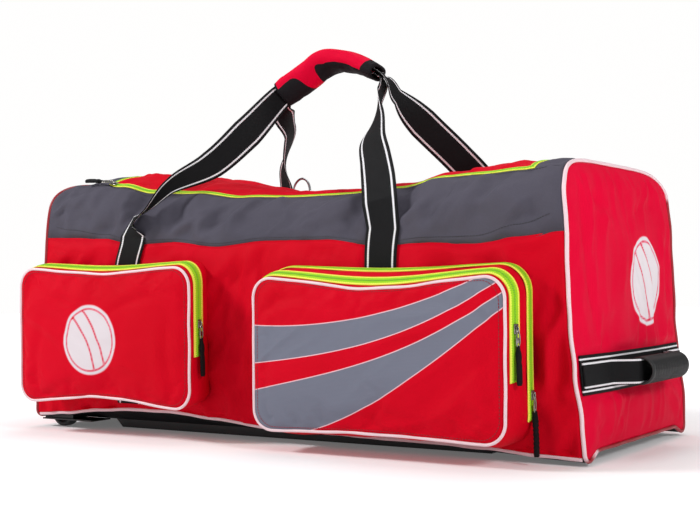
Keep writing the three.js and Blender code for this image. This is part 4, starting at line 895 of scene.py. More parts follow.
def lidZip():
    # both edges of the tape round the lid: down the left side, along the front and up the right side
    half = zipWidth / 2
    inner = beyond(zipTurn, half)
    outer = beyond(zipTurn, -half + gap)
    inside, outside, normals = [], [], []

    def station(atIn, turnIn, atOut, turnOut):
        inside.append(onSkin(atIn, turnIn, 0))
        outside.append(onSkin(atOut, turnOut, 0))
        normals.append(skinNormal((atIn + atOut) / 2, (turnIn + turnOut) / 2, pipingRoom))

    def sideRun(lid, sign, shares):
        atIn = np.full_like(shares, lid + sign * half / halfLength)
        atOut = np.full_like(shares, lid - sign * half / halfLength)
        lowIn, lowOut = lidLow(atIn), stripLow(atOut)
        turnIn = lowIn + (lidHigh(atIn) - lowIn) * shares
        turnOut = lowOut + (lidHigh(atOut) - lowOut) * shares
        station(atIn, turnIn, atOut, turnOut)

    sideRun(body["lidLeft"], 1, np.linspace(1, 0.015, 90))
    along = np.linspace(body["lidLeft"] + 0.02, body["lidRight"] - 0.02, 220)
    station(along, inner(along), along, outer(along))
    sideRun(body["lidRight"], -1, np.linspace(0.015, 1, 90))
    return np.concatenate(inside), np.concatenate(outside), np.concatenate(normals)


zipBand("lidZip", *lidZip(), ["lid_zip_tape"])
print("ends and trim made")

# pockets

pockets = {
    "left": {"node": "pocket_left", "side": -1, "centre": -272, "bottom": 47, "width": 340, "height": 208,
             "corner": 30, "depth": 60, "flare": -9, "topFlare": 6, "puff": 9, "sag": 9, "lift": 12,
             "swell": 3},
    "right": {"node": "pocket_right", "side": -1, "centre": 211, "bottom": 29, "width": 380, "height": 209,
              "corner": 30, "depth": 75, "flare": 4, "topFlare": 14, "puff": 10, "sag": 15, "lift": 4,
              "swell": 4},
    "back": {"node": "back_pocket", "side": 1, "centre": 30, "bottom": 52, "width": 800, "height": 196,
             "corner": 34, "depth": 20, "flare": 2, "topFlare": 2, "puff": 7, "sag": 4, "lift": 3,
             "swell": 1}}
loopCount = 420


def pocketOutline(pocket, inset, topInset, sagShare, count=loopCount):
    # rounded rectangle from the lower left corner up, over and back, with its long edges eased in
    halfWidth = pocket["width"] / 2 - inset
    low = pocket["bottom"] + inset
    high = pocket["bottom"] + pocket["height"] - topInset
    radius = pocket["corner"] - inset
    foot, head = low + radius, high - radius
    rows = []
    for sign, z, start in ((-1, foot, 1.5), (-1, head, 1.0), (1, head, 0.5), (1, foot, 0)):
        angle = np.pi * (start - 0.5 * np.linspace(0, 1, 24))
        outX, outZ = np.cos(angle), np.sin(angle)
        rows.append(np.stack([sign * (halfWidth - radius) + radius * outX, z + radius * outZ, outX, outZ], 1))
    ring = np.concatenate(rows + [rows[0][:1]])
    lengths = runLengths(ring[:, :2])
    places = np.linspace(0, lengths[-1], count, endpoint=False)
    x, z, outX, outZ = [np.interp(places, lengths, ring[:, k]) for k in range(4)]
    hollow = np.cos(np.pi * x / (2 * halfWidth)) ** 2 * sagShare
    share = (z - low) / (high - low)
    z = z + hollow * (pocket["lift"] * (1 - share) - pocket["sag"] * share)
    return {"x": pocket["centre"] + x, "z": z, "outX": outX, "outZ": outZ}


def pocketFoot(pocket):
    # the flared outline laid on the wall, and clear of the webbing where that runs under it
    foot = pocketOutline(pocket, -pocket["flare"], -pocket["topFlare"], 0.3)
    near = np.ones(loopCount)
    if pocket["side"] < 0:
        away = [np.abs(foot["x"] - straps[name]) for name in ("frontLeft", "frontRight")]
        near = 1 - smooth(46, 84, np.minimum(*away))
    stand = 0.4 + 3.0 * near
    foot["y"] = onWall(pocket["side"], foot["x"], foot["z"], 0)[:, 1] + pocket["side"] * stand
    return foot


def gusset(pocket, share, offset):
    # straight lines from the wall (share 0) to the face (1), swollen by a sine between; a row for each point
    # of the loop
    face = pocketOutline(pocket, 0, 0, 1)
    foot = pocketFoot(pocket)
    face["y"] = np.full(loopCount, pocket["side"] * (halfDepth + pocket["depth"] - pocketRoom))
    share = np.atleast_1d(share)[None, :]
    lift = pocket["swell"] * np.sin(np.pi * share) + offset
    x, y, z = [foot[key][:, None] + (face[key] - foot[key])[:, None] * share for key in ("x", "y", "z")]
    return np.stack([x + lift * face["outX"][:, None], y, z + lift * face["outZ"][:, None]], -1)


def stripeShape(x, z, top, low):
    # distance inside a curved stripe; each edge is a cubic over the pocket's half width
    half = pockets["right"]["width"] / 2
    u = (x - pockets["right"]["centre"]) / half

    def below(edge):
        slope = np.polyval(np.polyder(edge), u) / half
        return (np.polyval(edge, u) - z) / np.sqrt(1 + slope ** 2)

    return np.minimum(below(top), -below(low))

faceCreases = {
    # x, z, heading, length, width, depth
    "left": [(-330, 200, -20, 60, 8, 2.4), (-200, 205, 16, 60, 8, 2.2), (-400, 120, 80, 50, 10, 2.4),
             (-140, 120, 96, 50, 9, 2.4), (-280, 70, 4, 80, 9, 2.0), (-235, 150, 60, 60, 16, 1.6),
             (-360, 70, 24, 40, 8, 2.0)],
    "right": [(60, 200, 26, 50, 8, 2.6), (130, 205, -12, 70, 9, 2.4), (250, 200, 12, 80, 9, 2.4),
              (360, 190, -24, 50, 8, 2.4), (45, 110, 84, 60, 9, 2.4), (380, 110, 94, 60, 9, 2.4),
              (200, 55, 4, 100, 9, 2.0), (300, 80, 50, 60, 14, 1.8)],
    "back": [(-200, 120, 60, 60, 12, 1.4), (100, 150, 30, 80, 12, 1.4), (300, 100, 110, 60, 12, 1.4)]}
stripes = [
    # upper and lower edge of each stripe, mm, highest power first
    ((3.4, 26.7, 37.6, 185.9), (8.4, 26.9, 50.1, 152.5)),
    ((9.6, 23.6, 58.6, 127.4), (-8.5, 39.6, 98.1, 72.7))]
pocketBall = (-286.0, 146.0, 52.0)  # x, z and radius of the ball on the left pocket
gridSizes = {"left": 132, "right": 132, "back": 90}

for key, pocket in pockets.items():
    side, cadName = pocket["side"], pocket["node"]
    faceY = halfDepth + pocket["depth"]
    outline = pocketOutline(pocket, pocketRoom - 1.2, pocketRoom - 1.2, 1, 600)
    hub = np.array([pocket["centre"], pocket["bottom"] + pocket["height"] / 2])
    x, z, reach = squareFill(np.stack([outline["x"], outline["z"]], 1), hub, gridSizes[key])
    rimX = pocket["width"] / 2 - np.abs(x - pocket["centre"])
    rimZ = np.minimum(z - pocket["bottom"], pocket["bottom"] + pocket["height"] - z)
    rim = np.clip(np.minimum(rimX, rimZ), 0, 60)
    fade = smooth(0, 0.1, 1 - reach)
    push = pocket["puff"] * (1 - reach ** 3) + 1.4 * np.clip(rim / 14, 0, 1) ** 0.5 - 1.6
    pucker = 0.5 * np.exp(-rim / 16) * np.sin(2 * np.pi * (x + z) / 23 + 1.7 * ripple(x, z, 60, 90))
    folds = creases(x, z, faceCreases[key]) + 2.6 * crumple(x, z, 61 + len(key), 110, lean=20)
    push = push + fade * (folds + pucker)
    push = push + fade * settled(key + "Face", np.stack([x, side * (faceY + push), z], -1), cap=2.8)
    grid = np.stack([x, side * (faceY + push), z], -1)
    sign, look = np.full(x.shape, -99.0), redLook
    if key == "left":
        sign, look = ballSign(x, z, *pocketBall), emblemPrint
    if key == "right":
        sign, look = np.max([stripeShape(x, z, top, low) for top, low in stripes], 0), redPrint
    inner = (pocket["centre"], 0, 150)
    clothShell(key + "PocketFace", grid, look, inner, [cadName + "_face"], {"print": sign})
    out = gridNormals(grid)
    out = out * np.sign(out[..., 1:2] * side)
    rimRow = lambda a: np.concatenate([a[2, 2:-2], a[2:-2, -3], a[-3, 2:-2][::-1], a[2:-2, 2][::-1]])
    stitches(key + "FaceStitches", [(rimRow(grid), rimRow(out))], threadLook)

    loop = pocketOutline(pocket, piping["pocketSink"], piping["pocketSink"], 1)
    path = np.stack([loop["x"], np.full(loopCount, side * (faceY - piping["pocketSink"])), loop["z"]], 1)
    path[:, 1] += side * 0.6 * ripple(path[:, 0], path[:, 2], 70, 70)
    path[:, 2] += 0.5 * ripple(path[:, 0], path[:, 2], 71, 60)
    points, faces = tube(path, piping["pocketRadius"] - 0.5, 12, True, up=(0, 1, 0))
    addPiece(key + "PocketPiping", points, faces, pipingLook, [cadName + "_piping"])

    share = np.linspace(0, 1, 16)
    face = pocketOutline(pocket, 0, 0, 1)
    out = np.stack([face["outX"], np.zeros(loopCount), face["outZ"]], 1)
    travel = np.linspace(0, 2 * (pocket["width"] + pocket["height"]), loopCount, endpoint=False)[:, None]
    wave = 0.9 * np.sin(np.pi * share) * ripple(travel, share * pocket["depth"], 80 + len(key), 55)
    grid = gusset(pocket, share, 0) + out[:, None] * wave[..., None]
    inner = (pocket["centre"], side * 220, 150)
    clothShell(key + "PocketSide", grid, redLook, inner, [cadName + "_gusset"], closed=True)

pocketZips = {
    # name: pocket, strip low and high, how far down the left and right sides it runs, node
    "leftZip": ("left", 0.46, 0.90, 0.36, 0.36, "pocket_left_zip_tape"),
    "rightFrontZip": ("right", 0.66, 0.95, 0.36, 0.36, "pocket_right_zip_front"),
    "rightRearZip": ("right", 0.06, 0.36, 0.10, 0.10, "pocket_right_zip_rear"),
    "backZip": ("back", 0.18, 0.82, 0.80, 0.40, "back_pocket_zip_tape")}
zipPaths = {}
for name, (key, low, high, leftEnd, rightEnd, cadName) in pocketZips.items():
    pocket = pockets[key]
    face = pocketOutline(pocket, 0, 0, 1)
    height = (face["z"] - pocket["bottom"]) / pocket["height"]
    keep = np.flatnonzero(height > np.where(face["x"] < pocket["centre"], leftEnd, rightEnd))
    normals = np.stack([face["outX"], np.zeros(loopCount), face["outZ"]], 1)[keep]
    lowSide, highSide = gusset(pocket, np.array([low, high]), 1.5)[keep].swapaxes(0, 1)
    tilt = unit(highSide - lowSide)
    normals = unit(normals - tilt * np.sum(normals * tilt, -1, keepdims=True))
    zipBand(name, lowSide, highSide, normals, [cadName])
    zipPaths[name] = ((lowSide + highSide) / 2, normals)
print("pockets made")

# webbing handles

gripSize = {"width": 38, "length": 176, "centre": -27, "top": 572, "arch": 42, "wrapWidth": 52,
            "wrapHeight": 28, "parting": 2.0}
legs = {
    # x from the foot, y share, rise share, heading and tip of the width in degrees, width share
    "frontLeft": [(18, -1.06, 0.09, -28, 0, 0.75), (42, -1.045, 0.16, -58, 6, 0.44),
                  (66, -0.91, 0.31, -105, 30, 0.5), (100, -0.60, 0.46, -146, 46, 0.9),
                  (134, -0.37, 0.67, -148, 47, 1)],
    "frontRight": [(-9, -0.955, 0.16, 8, 0, 1), (-27, -0.82, 0.29, 4, 0, 1), (-48, -0.68, 0.42, -11, 0, 1),
                   (-72, -0.52, 0.55, -24, 0, 1), (-93, -0.29, 0.70, -46, 0, 1),
                   (-107, -0.11, 0.85, -70, 0, 0.85), (-114, 0, 0.972, -76, 0, 0.76)],
    "rearLeft": [(14, 0.98, 0.16, -6, 0, 0.9), (28, 0.90, 0.34, -25, 0, 0.7), (64, 0.62, 0.52, -50, 4, 0.8),
                 (118, 0.30, 0.74, -72, 8, 0.8), (131, 0.07, 0.89, -122, 38, 0.74)],
    "rearRight": [(-8, 0.985, 0.16, -176, -6, 1), (-20, 0.86, 0.33, -164, -24, 1),
                  (-38, 0.60, 0.50, -150, -44, 1), (-74, 0.34, 0.72, -146, -42, 1),
                  (-97, 0.15, 0.88, -92, -6, 0.85), (-103, 0.03, 0.984, -76, 0, 0.76)]}
gripSlope = [
    # share of the length, share of the arch, heading and tip of the width in degrees
    (-0.5, -1.00, -132, 46), (-0.25, -0.46, -122, 40), (0.0, 0.0, -110, 30), (0.25, -0.12, -92, 16),
    (0.5, -0.56, -76, 0)]


def gripRow(along, rise, heading, tip):
    # a row of the route where the straps run through the grip wrap
    place = (gripSize["centre"] + along * gripSize["length"], 0, gripSize["top"] + rise * gripSize["arch"])
    return place, heading, tip, gripSize["width"] / webbing["width"]


def legRows(name):
    # rows of the route from the wall up to the grip
    low, high = webbing["top"], gripSize["top"] - 0.71 * gripSize["arch"]
    return [((straps[name] + x, y * halfDepth, low + (high - low) * rise), heading, tip, width)
            for x, y, rise, heading, tip, width in legs[name]]


def routeStations(rows, first, last, stepsEach):
    # centripetal Catmull-Rom through the rows, with the width turned square to the run
    points = np.array([row[0] for row in rows], float)
    points = np.concatenate([[2 * points[0] - points[1]], points, [2 * points[-1] - points[-2]]])
    stations = []
    for k in range(int((last - first) * stepsEach) + 1):
        place = first + k / stepsEach
        row = min(len(rows) - 2, int(place))
        t = place - row
        p0, p1, p2, p3 = points[row:row + 4]
        d0, d1, d2 = [max(np.linalg.norm(b - a) ** 0.5, 1e-4) for a, b in ((p0, p1), (p1, p2), (p2, p3))]
        m1 = ((p1 - p0) / d0 - (p2 - p0) / (d0 + d1) + (p2 - p1) / d1) * d1
        m2 = ((p2 - p1) / d1 - (p3 - p1) / (d1 + d2) + (p3 - p2) / d2) * d1
        square = -3 * p1 + 3 * p2 - 2 * m1 - m2
        cube = 2 * p1 - 2 * p2 + m1 + m2
        run = unit(m1 + 2 * square * t + 3 * cube * t ** 2)
        heading, tip, width = [rows[row][c] + (rows[row + 1][c] - rows[row][c]) * t for c in (1, 2, 3)]
        heading, tip = math.radians(heading), math.radians(tip)
        wide = np.array([math.cos(heading) * math.cos(tip), math.sin(heading) * math.cos(tip), math.sin(tip)])
        wide = unit(wide - run * np.dot(wide, run))
        centre = p1 + m1 * t + square * t ** 2 + cube * t ** 3
        stations.append((centre, wide, unit(np.cross(wide, run)), width * webbing["width"] / 2))
    return stations


def wallStations(side, foot, heights, direction, lean=0.0):
    # sewn run up the wall; lean is how far its free end has swung aside, in mm
    foot = foot + lean * smooth(webbing["top"] - 50, webbing["top"], heights)
    offset = webbing["seat"] + webbing["thick"] / 2 - 0.4
    half = direction * webbing["width"] / 2
    left, right = onWall(side, foot - half, heights, offset), onWall(side, foot + half, heights, offset)
    normal = unit(onWall(side, foot, heights, offset + 1) - onWall(side, foot, heights, offset))
    return list(zip((left + right) / 2, unit(right - left), normal, np.linalg.norm(right - left, axis=1) / 2))


def bandLoft(name, stations, thickness, look, replaces):
    # flat woven section with rounded edges swept over the stations; where it narrows, the webbing is folded
    # towards its own middle, so its edges stay in view
    share = np.linspace(-1, 1, 15)
    rim = thickness / 2 * np.sqrt(np.clip(1 - np.abs(share) ** 12, 0.04, 1))
    path, wide, normal, half = [np.array([station[k] for station in stations])[:, None] for k in range(4)]
    flat = path + wide * half[..., None] * share[None, :, None]
    over = flat + normal * rim[None, :, None]
    under = flat - normal * rim[None, :, None]
    points, faces = loft(np.concatenate([over, under[:, ::-1]], 1))
    return addPiece(name, points, faces, look, replaces, bandMarks(share, path[:, 0]))


gripRows = [gripRow(*row) for row in gripSlope]
gripStations = routeStations(gripRows, 0, 4, 12)


def handle(side, leftName, rightName, stack):
    # one strap: up the wall, free to the grip, along it at its own height in the stack, and down the same way
    heights = np.linspace(webbing["foot"], webbing["top"], 44)
    sewnLeft = wallStations(side, straps[leftName], heights, 1, webbing["lean"] if side < 0 else 0)
    sewnRight = wallStations(side, straps[rightName], heights, 1 if side < 0 else -1)[::-1]
    left, right = legRows(leftName), legRows(rightName)
    each = 10
    up = routeStations(left + gripRows[:2], 0, len(left), each)[:-1]
    down = routeStations(gripRows[-2:] + right[::-1], 1, len(right) + 1, each)[1:]
    parting = math.copysign(gripSize["parting"], stack)
    shift = lambda s, amount: (s[0] + s[2] * amount, s[1], s[2], s[3])
    near = lambda away: (stack + parting) * max(0, 1 - away / each)
    up = [shift(s, near(len(up) - k)) for k, s in enumerate(up)]
    down = [shift(s, near(k + 1)) for k, s in enumerate(down)]
    last = len(gripStations) - 1
    grip = [shift(s, stack + parting * abs(2 * k / last - 1) ** 4) for k, s in enumerate(gripStations)]
    flipped = lambda stations: [(c, w, -n, h) for c, w, n, h in stations]
    return (flipped(sewnLeft) if side > 0 else sewnLeft) + up + grip + down + flipped(sewnRight)


stackHalf = webbing["thick"] / 2 + gap
front = handle(-1, "frontLeft", "frontRight", -stackHalf)
rear = handle(1, "rearLeft", "rearRight", stackHalf)
bandLoft("frontHandle", front, webbing["thick"], webbingLook, ["strap_front"])
bandLoft("rearHandle", rear, webbing["thick"], webbingLook, ["strap_rear"])
print("handles made")


def bent(value, power):
    # a sine or cosine raised to a power with its sign kept, which squares the round of a section
    return np.sign(value) * np.abs(value) ** power


# wrap: flattened tube round both straps; red above, with black painted as shade on much of its underside, and
# a black binding at its ends
turnShare = np.linspace(0, 2 * np.pi, 64, endpoint=False)[:, None]
v = np.linspace(0, 1, len(gripStations))[None, :]
spine, wide, normal = [np.array([station[k] for station in gripStations])[None] for k in range(3)]
cosine, sine = np.cos(turnShare), np.sin(turnShare)
pinch = 1 - 0.10 * np.abs(2 * v - 1) ** 6
sagged = 1 + 0.05 * np.sin(5 * np.pi * v + 1) * sine
aside = (gripSize["wrapWidth"] / 2 - 1) * pinch * bent(cosine, 0.85)
above = gripSize["wrapHeight"] / 2 * pinch * sagged * np.where(sine > 0, 1.0, 0.94) * bent(sine, 0.9)
grid = spine + wide * aside[..., None] + normal * above[..., None]
travel = np.broadcast_to(v * gripSize["length"], grid.shape[:2])
outer = unit(wide * cosine[..., None] / 26 + normal * sine[..., None] / 15)
tucks = 0.9 * np.exp(-((np.mod(travel, 44) - 22) / 5) ** 2) * (sine < 0.2)
fold = 0.5 * ripple(travel, turnShare * 20, 91, 38) - tucks
fold = fold + settled("wrap", grid, step=2, closed=True, cap=1.2, inner=spine.mean(1))
grid = grid + outer * fold[..., None]
# painted shade: black where the tube's surface faces down, less of it near a third of the way along and past
# the middle; the binding at each end is its own black
under = -outer[..., 2] - 0.22 - 0.9 * np.exp(-((v - 0.31) / 0.075) ** 2) - 0.44 * smooth(0.36, 0.5, v)
binding = np.maximum(0.018 - v, v - 0.91 - 0.02 * sine)
marks = {"dark": np.maximum(under * 6, binding * 60)}
wrapLook, wrapTree, wrapShader, wrapColour = clothLook("wrapCloth", endRed, endShade, strength=0.45)
shadeAndBindingMask = calc(wrapTree, "GREATER_THAN", marked(wrapTree, "dark"), 0.0)
wrapMixed = mixColour(wrapTree, shadeAndBindingMask, wrapColour, (0.014, 0.013, 0.015))
feed(wrapTree, wrapMixed, wrapShader.inputs["Base Color"])
inner = np.broadcast_to(spine, grid.shape)
wrap = clothShell("gripWrap", grid, wrapLook, inner, ["grip_wrap"], marks, 4.5, closed=True)

# D-ring: a bow on a straight bar, leaning as its solid does
wire = 2.1
low, high = [(np.array(corner) - middle) * 1000 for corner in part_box("d_ring")]
half = (high[0] - low[0]) / 2 - 2.3
rise = high[2] - low[2] - 4.8
bow = np.linspace(0, np.pi, 40)
bar = np.linspace(-half * 0.92, half * 0.92, 14)
aside = np.concatenate([half * np.cos(bow), bar])
above = np.concatenate([8 + (rise - 8) * np.sin(bow), 0 * bar])
lean = (high[1] - low[1] - 4.4) / rise
path = np.stack([(low[0] + high[0]) / 2 + aside, low[1] + 2.2 + lean * above, low[2] + 2.6 + above], 1)
points, faces = tube(path, wire, 12, True, up=(0, 1, 0))
addPiece("dRing", points, faces, chromeLook, ["d_ring"])
print("wrap and ring made")

# right end handle: base webbing, carrying strap and ribbed grip


def endFace(y, z):
    # how far the right end's cloth reaches at y and z: its lean and its bulge
    edge = halfDepth - pipingRoom
    share = np.minimum(1, np.maximum(np.abs(y) / edge, np.abs(z - body["height"] / 2) / edge))
    return endReach(1, z) + body["endBulge"] * body["depth"] * (1 - share ** 2)


def endBand(name, width, thick, y, stand, replaces, look):
    # band across the end that stands off it; where it lies on the cloth its width leans with it
    z = np.full_like(y, endHandle["z"])
    x = endFace(y, z) + stand
    run = unit(np.stack([np.gradient(x), np.gradient(y), np.zeros_like(y)], 1))
    normal = np.stack([run[:, 1], -run[:, 0], np.zeros_like(y)], 1)
    lean = 1 - smooth(4, endHandle["standoff"], stand)
    slope = lean * (endFace(y, z + 25) - endFace(y, z - 25)) / 50
    wide = unit(np.stack([slope, np.zeros_like(y), np.ones_like(y)], 1))
    stations = list(zip(np.stack([x, y, z], 1), wide, normal, np.full_like(y, width / 2)))
    return bandLoft(name, stations, thick, look, replaces)


baseWebbing = bandLook("endWebbing", black, thread, 0.80, 0.045)
strapWebbing = bandLook("endStrapWebbing", (0.007, 0.007, 0.008), thread, 0.86, 0.07)
endEdge = halfDepth - pipingRoom - endHandle["inset"]
halfGrip = endHandle["length"] / 2
y = np.linspace(-endEdge - 2, endEdge + 2, 90)
stand = endHandle["clear"] + endHandle["baseThick"] / 2
endBand("endWebbing", endHandle["baseWidth"], endHandle["baseThick"], y, np.full_like(y, stand),
        ["end_handle_base"], baseWebbing)
stand = stand + endHandle["baseThick"] / 2 + gap + endHandle["strapThick"] / 2
y = np.linspace(-endEdge, endEdge, 160)
raised = 1 - smooth(halfGrip + 3, halfGrip + endHandle["swing"], np.abs(y))
stand = stand + (endHandle["standoff"] - stand) * raised
endBand("endStrap", endHandle["strapWidth"], endHandle["strapThick"], y, stand,
        ["end_handle_strap"], strapWebbing)

# grip: a tube with a herringbone of raised bars and a plain collar at each end
turnShare = np.linspace(0, 2 * np.pi, 112, endpoint=False)[:, None]
y = np.linspace(-halfGrip, halfGrip, 112)[None, :]
collar = smooth(halfGrip - 9, halfGrip - 7, np.abs(y))
zigzag = np.abs(np.mod(turnShare / (2 * np.pi) * 8, 1) - 0.5) * 2
bars = smooth(-0.2, 0.3, np.sin(2 * np.pi * (y / 6.5 + zigzag * 1.1)))
rounding = 2.2 * smooth(halfGrip - 3, halfGrip, np.abs(y)) ** 2
radius = endHandle["diameter"] / 2 - 0.9 + 0.9 * np.maximum(bars * (1 - collar), collar) - rounding
gripX = endFace(np.array(0.0), np.array(float(endHandle["z"]))) + endHandle["standoff"]
axis = np.stack([np.full_like(radius, gripX), y + 0 * radius, np.full_like(radius, endHandle["z"])], -1)
spokes = np.stack([np.cos(turnShare), 0 * turnShare, np.sin(turnShare)], -1)
grid = axis + radius[..., None] * spokes
clothShell("endGrip", grid, rubberLook, axis, ["end_handle_grip"], thickness=1.5, closed=True)
print("end handle made")

# zip sliders and pulls

slider = {"body": (12.5, 8.4, 1.4), "crown": (7.5, 5.6, 1.3), "bridge": (4.4, 2.9), "tab": (7.0, 4.2, 1.3),
          "loop": (10.5, 3.4), "wire": 0.95}


def sliderSet(name, foot, run, normal, length, replaces, hang=(0, 0, -1), bend=0.0, ribs=0.0):
    # slider body, bridge, wire loop and tab in metal, then a webbing pull that hangs from the tab
    run, normal, hang = unit(run), unit(normal), unit(np.array(hang, float))
    metal = [placed(block(slider["body"], 0.5), foot + normal * 2.2, run, normal),
             placed(block(slider["crown"], 0.5), foot + normal * 3.9 + run, run, normal)]
    bow = np.linspace(0, np.pi, 16)[:, None]
    long, high = slider["bridge"]
    path = foot + run * (-long * np.cos(bow)) + normal * (2.7 + high * np.sin(bow))
    metal.append(tube(path, 0.9, 8, up=np.cross(normal, run)))
    facing = unit(normal - hang * np.dot(normal, hang))
    sideways = np.cross(facing, hang)
    top = foot + normal * 4.8 + hang * 2.0
    turn = np.linspace(0, 2 * np.pi, 28, endpoint=False)[:, None]
    long, half = slider["loop"]
    path = top + facing * 0.3 + hang * (long - 1 - long * np.cos(turn))
    path = path + sideways * (half * np.sin(turn) * (1 - 0.25 * np.cos(turn)))
    metal.append(tube(path, slider["wire"], 8, True, up=facing))
    metal.append(placed(block(slider["tab"], 0.4), top + hang * 12, hang, facing))
    points, faces = gather(metal)
    addPiece(name + "Slider", points, faces, darkMetal, replaces[:1])
    # the pull: webbing folded double through the loop, pinched, with a blunt tip
    t = np.linspace(0, 1, 40)
    path = top + hang * (18 + t * length)[:, None] + facing * (1.2 * np.sin(2.6 * t) + bend * t ** 2)[:, None]
    ribbing = 0.11 * np.sign(ribs) * np.sin(2 * np.pi * t * length / 5.5)
    swell = 1 + ribbing * smooth(0.1, 0.2, t) * (1 - smooth(0.8, 0.9, t))
    pinch = 0.9 * np.exp(-((t - 0.42) / 0.05) ** 2)
    width = swell * (2.4 + 2.3 * smooth(0.08, 0.3, t) - pinch - 1.6 * smooth(0.93, 1, t))
    thick = swell * (2.2 + 0.7 * np.exp(-((t - 0.2) / 0.08) ** 2) + ribs)
    turn = np.linspace(0, 2 * np.pi, 20, endpoint=False)
    ring = (bent(np.cos(turn), 0.6) * width[:, None])[..., None] * sideways
    ring = ring + (bent(np.sin(turn), 0.7) * thick[:, None])[..., None] * facing
    points, faces = loft(path[:, None] + ring)
    shape = (len(t), len(turn))
    along = np.broadcast_to((t * length)[:, None], shape)
    marks = {"across": np.broadcast_to(np.cos(turn), shape), "along": along}
    addPiece(name + "Pull", points, faces, plainWebbing, replaces[1:], marks)


def zipPlace(name, z):
    # the place nearest to a height on the right side of a pocket's zip, with its downward run and its normal
    path, normals = zipPaths[name]
    pocket = pockets[pocketZips[name][0]]
    half = np.flatnonzero(path[:, 0] - pocket["centre"] > 0.3 * pocket["width"])
    k = half[np.argmin(np.abs(path[half, 2] - z))]
    k = min(max(k, 1), len(path) - 2)
    run = unit(path[k + 1] - path[k - 1])
    return path[k], -run if run[2] > 0 else run, normals[k]


pulls = {
    # zip, height, nodes
    "leftPocket": ("leftZip", 172, ("pocket_left_slider", "pocket_left_pull")),
    "rightFront": ("rightFrontZip", 171, ("pocket_right_front_slider", "pocket_right_front_pull")),
    "rightRear": ("rightRearZip", 88, ("pocket_right_rear_slider", "pocket_right_rear_pull")),
    "backPocket": ("backZip", 209, ("back_pocket_slider", "back_pocket_pull"))}
for name, (zipName, z, cadNames) in pulls.items():
    foot, run, normal = zipPlace(zipName, z)
    length = foot[2] - 21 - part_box(cadNames[1])[0][2] * 1000
    sliderSet(name, foot, run, normal, length, cadNames, bend=1.5, ribs=0.9 if name == "rightRear" else 0.0)

at = np.array(body["lidLeft"] + 0.02)
foot = onSkin(at, zipTurn(at), 0.4)
normal = skinNormal(at, zipTurn(at), pipingRoom)
run = unit(onSkin(at - 0.01, zipTurn(at - 0.01), 0) - onSkin(at + 0.01, zipTurn(at + 0.01), 0))
pullBox = (np.array(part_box("lid_zip_pull")) - middle) * 1000
toPull = pullBox.mean(0) - foot
length = 2 * np.linalg.norm(toPull) - 20
sliderSet("lidZip", foot, run, normal, length, ("lid_zip_slider", "lid_zip_pull"), hang=toPull)
print("pulls made")

# wheels: profile of radius along the axle, spun, with a ribbed tyre and a hub

wheel = {"radius": 24.0, "fromEnd": 38, "fromSide": 30, "groove": 23.5}
halfProfile = [
    # radius, distance from the middle
    (4.6, 8), (8.6, 8.4), (9.0, 6.6), (15.5, 6.2), (16.2, 8.6), (21.6, 8.9), (23.5, 7.2), (24.0, 4.5),
    (23.6, 3.9), (24.0, 3.2), (24.0, 0.6)]
outline = [(radius, -away) for radius, away in halfProfile] + [(wheel["groove"], 0)] + halfProfile[::-1]
radius, away = np.array(outline).T
turn = np.linspace(0, 2 * np.pi, 72, endpoint=False)[:, None]
x = wheel["fromEnd"] - halfLength + radius * np.cos(turn)
z = wheel["radius"] + radius * np.sin(turn)
for side, word in ((-1, "front"), (1, "rear")):
    y = np.broadcast_to(side * (halfDepth - wheel["fromSide"]) + away, x.shape)
    points, faces = loft(np.stack([x, y, z], -1), True)
    addPiece(word + "Wheel", points, faces, rubberLook, ["wheel_" + word], ride="wheel_" + word)

# plain finishes of the nodes that stay as they are

finishes = ((blackCloth, ("base_panel", "ring_loop")),
            (chromeLook, ("axle_front", "axle_rear")),
            (plasticLook, ("housing_front", "housing_rear", "skid_front", "skid_rear")))
for look, names in finishes:
    for name in names:
        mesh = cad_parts[name].data
        mesh.materials.clear()
        mesh.materials.append(look)
print("finishes set")

# stage

corners = [(-6, -6, -0.0005), (6, -6, -0.0005), (6, 8, -0.0005), (-6, 8, -0.0005)]
floorMesh = bpy.data.meshes.new("floor")
floorMesh.from_pydata(corners, [], [(0, 1, 2, 3)])
floor = inScene("floor", floorMesh)
floorLook, floorTree, floorShader = newLook("floorPaint", (0.86, 0.86, 0.87), 0.8)
floorShader.inputs["Specular IOR Level"].default_value = 0.0
floorShader.inputs["Emission Color"].default_value = (1, 1, 1, 1)
# the floor glows as painted light: strongly far off, so it shows white, and weakly under the bag, where it
# stays grey as painted shade
away = node(floorTree, "ShaderNodeVectorMath", operation="LENGTH")
feed(floorTree, objectPlace(floorTree), away.inputs[0])
glow = ranged(floorTree, away.outputs["Value"], 0.5, 1.7, 0.12, 0.75)  # white far off, grey under the bag
feed(floorTree, glow, floorShader.inputs["Emission Strength"])
floorMesh.materials.append(floorLook)

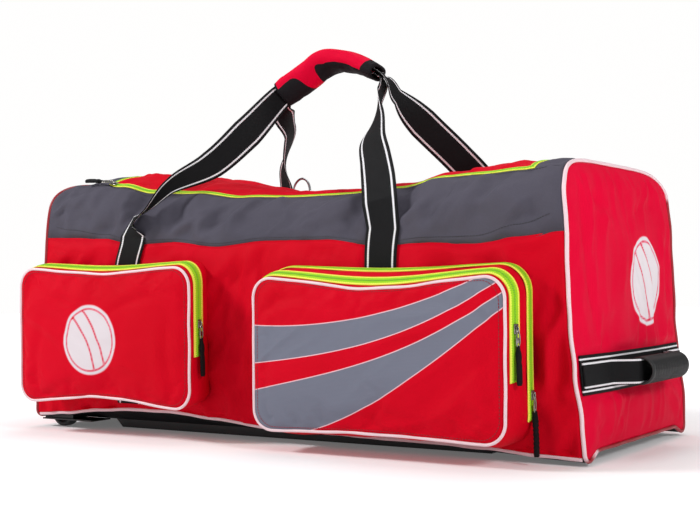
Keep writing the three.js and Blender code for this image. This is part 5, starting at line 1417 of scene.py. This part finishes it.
bpy.context.scene.view_settings.view_transform = "Standard"
world = bpy.data.worlds.new("studio")
world.use_nodes = True
sky = world.node_tree.nodes["Background"]
sky.inputs["Color"].default_value = (1.0, 0.995, 0.99, 1)
seen = node(world.node_tree, "ShaderNodeLightPath").outputs["Is Camera Ray"]
feed(world.node_tree, calc(world.node_tree, "MULTIPLY_ADD", seen, 0.65, 0.35), sky.inputs["Strength"])
bpy.context.scene.world = world


def areaLight(name, place, aim, size, power):
    # rectangular lamp at a place, turned towards the aim
    lamp = bpy.data.lights.new(name, "AREA")
    lamp.shape = "RECTANGLE"
    lamp.size, lamp.size_y = size
    lamp.energy = power
    holder = inScene(name, lamp)
    holder.location = place
    holder.rotation_euler = (Vector(aim) - Vector(place)).to_track_quat("-Z", "Y").to_euler()

areaLight("key", (-2.5, -1.9, 2.3), (0, 0, 0.2), (0.8, 0.7), 84)
areaLight("fill", (2.9, -1.3, 1.7), (0.2, 0, 0.2), (0.7, 0.7), 44)
areaLight("top", (0, 0.6, 2.6), (0, 0, 0.2), (2.0, 1.4), 26)

# camera at the photo's angle, fitted to the places of the body's corners, pockets and handles there
photoView = {"heading": 32.298, "pitch": -0.195, "roll": -0.448, "place": (1.0718, -1.6826, 0.2341),
             "width": 700, "focal": 1285.2, "raised": 27.88, "sensor": 36}
heading, pitch, roll = [math.radians(photoView[key]) for key in ("heading", "pitch", "roll")]
camera = bpy.data.cameras.new("camera")
camera.sensor_width = photoView["sensor"]
camera.lens = photoView["focal"] / photoView["width"] * photoView["sensor"]
camera.shift_y = photoView["raised"] / photoView["width"]
holder = inScene("camera", camera)
ahead = Vector((-math.sin(heading) * math.cos(pitch), math.cos(heading) * math.cos(pitch), math.sin(pitch)))
right = Vector((math.cos(heading), math.sin(heading), 0))
above = right.cross(ahead)
tilted = right * math.cos(roll) + above * math.sin(roll)
above = above * math.cos(roll) - right * math.sin(roll)
turned = Matrix((tilted, above, -ahead)).transposed()
holder.matrix_world = Matrix.Translation(Vector(photoView["place"]) + Vector(middle)) @ turned.to_4x4()
bpy.context.scene.camera = holder

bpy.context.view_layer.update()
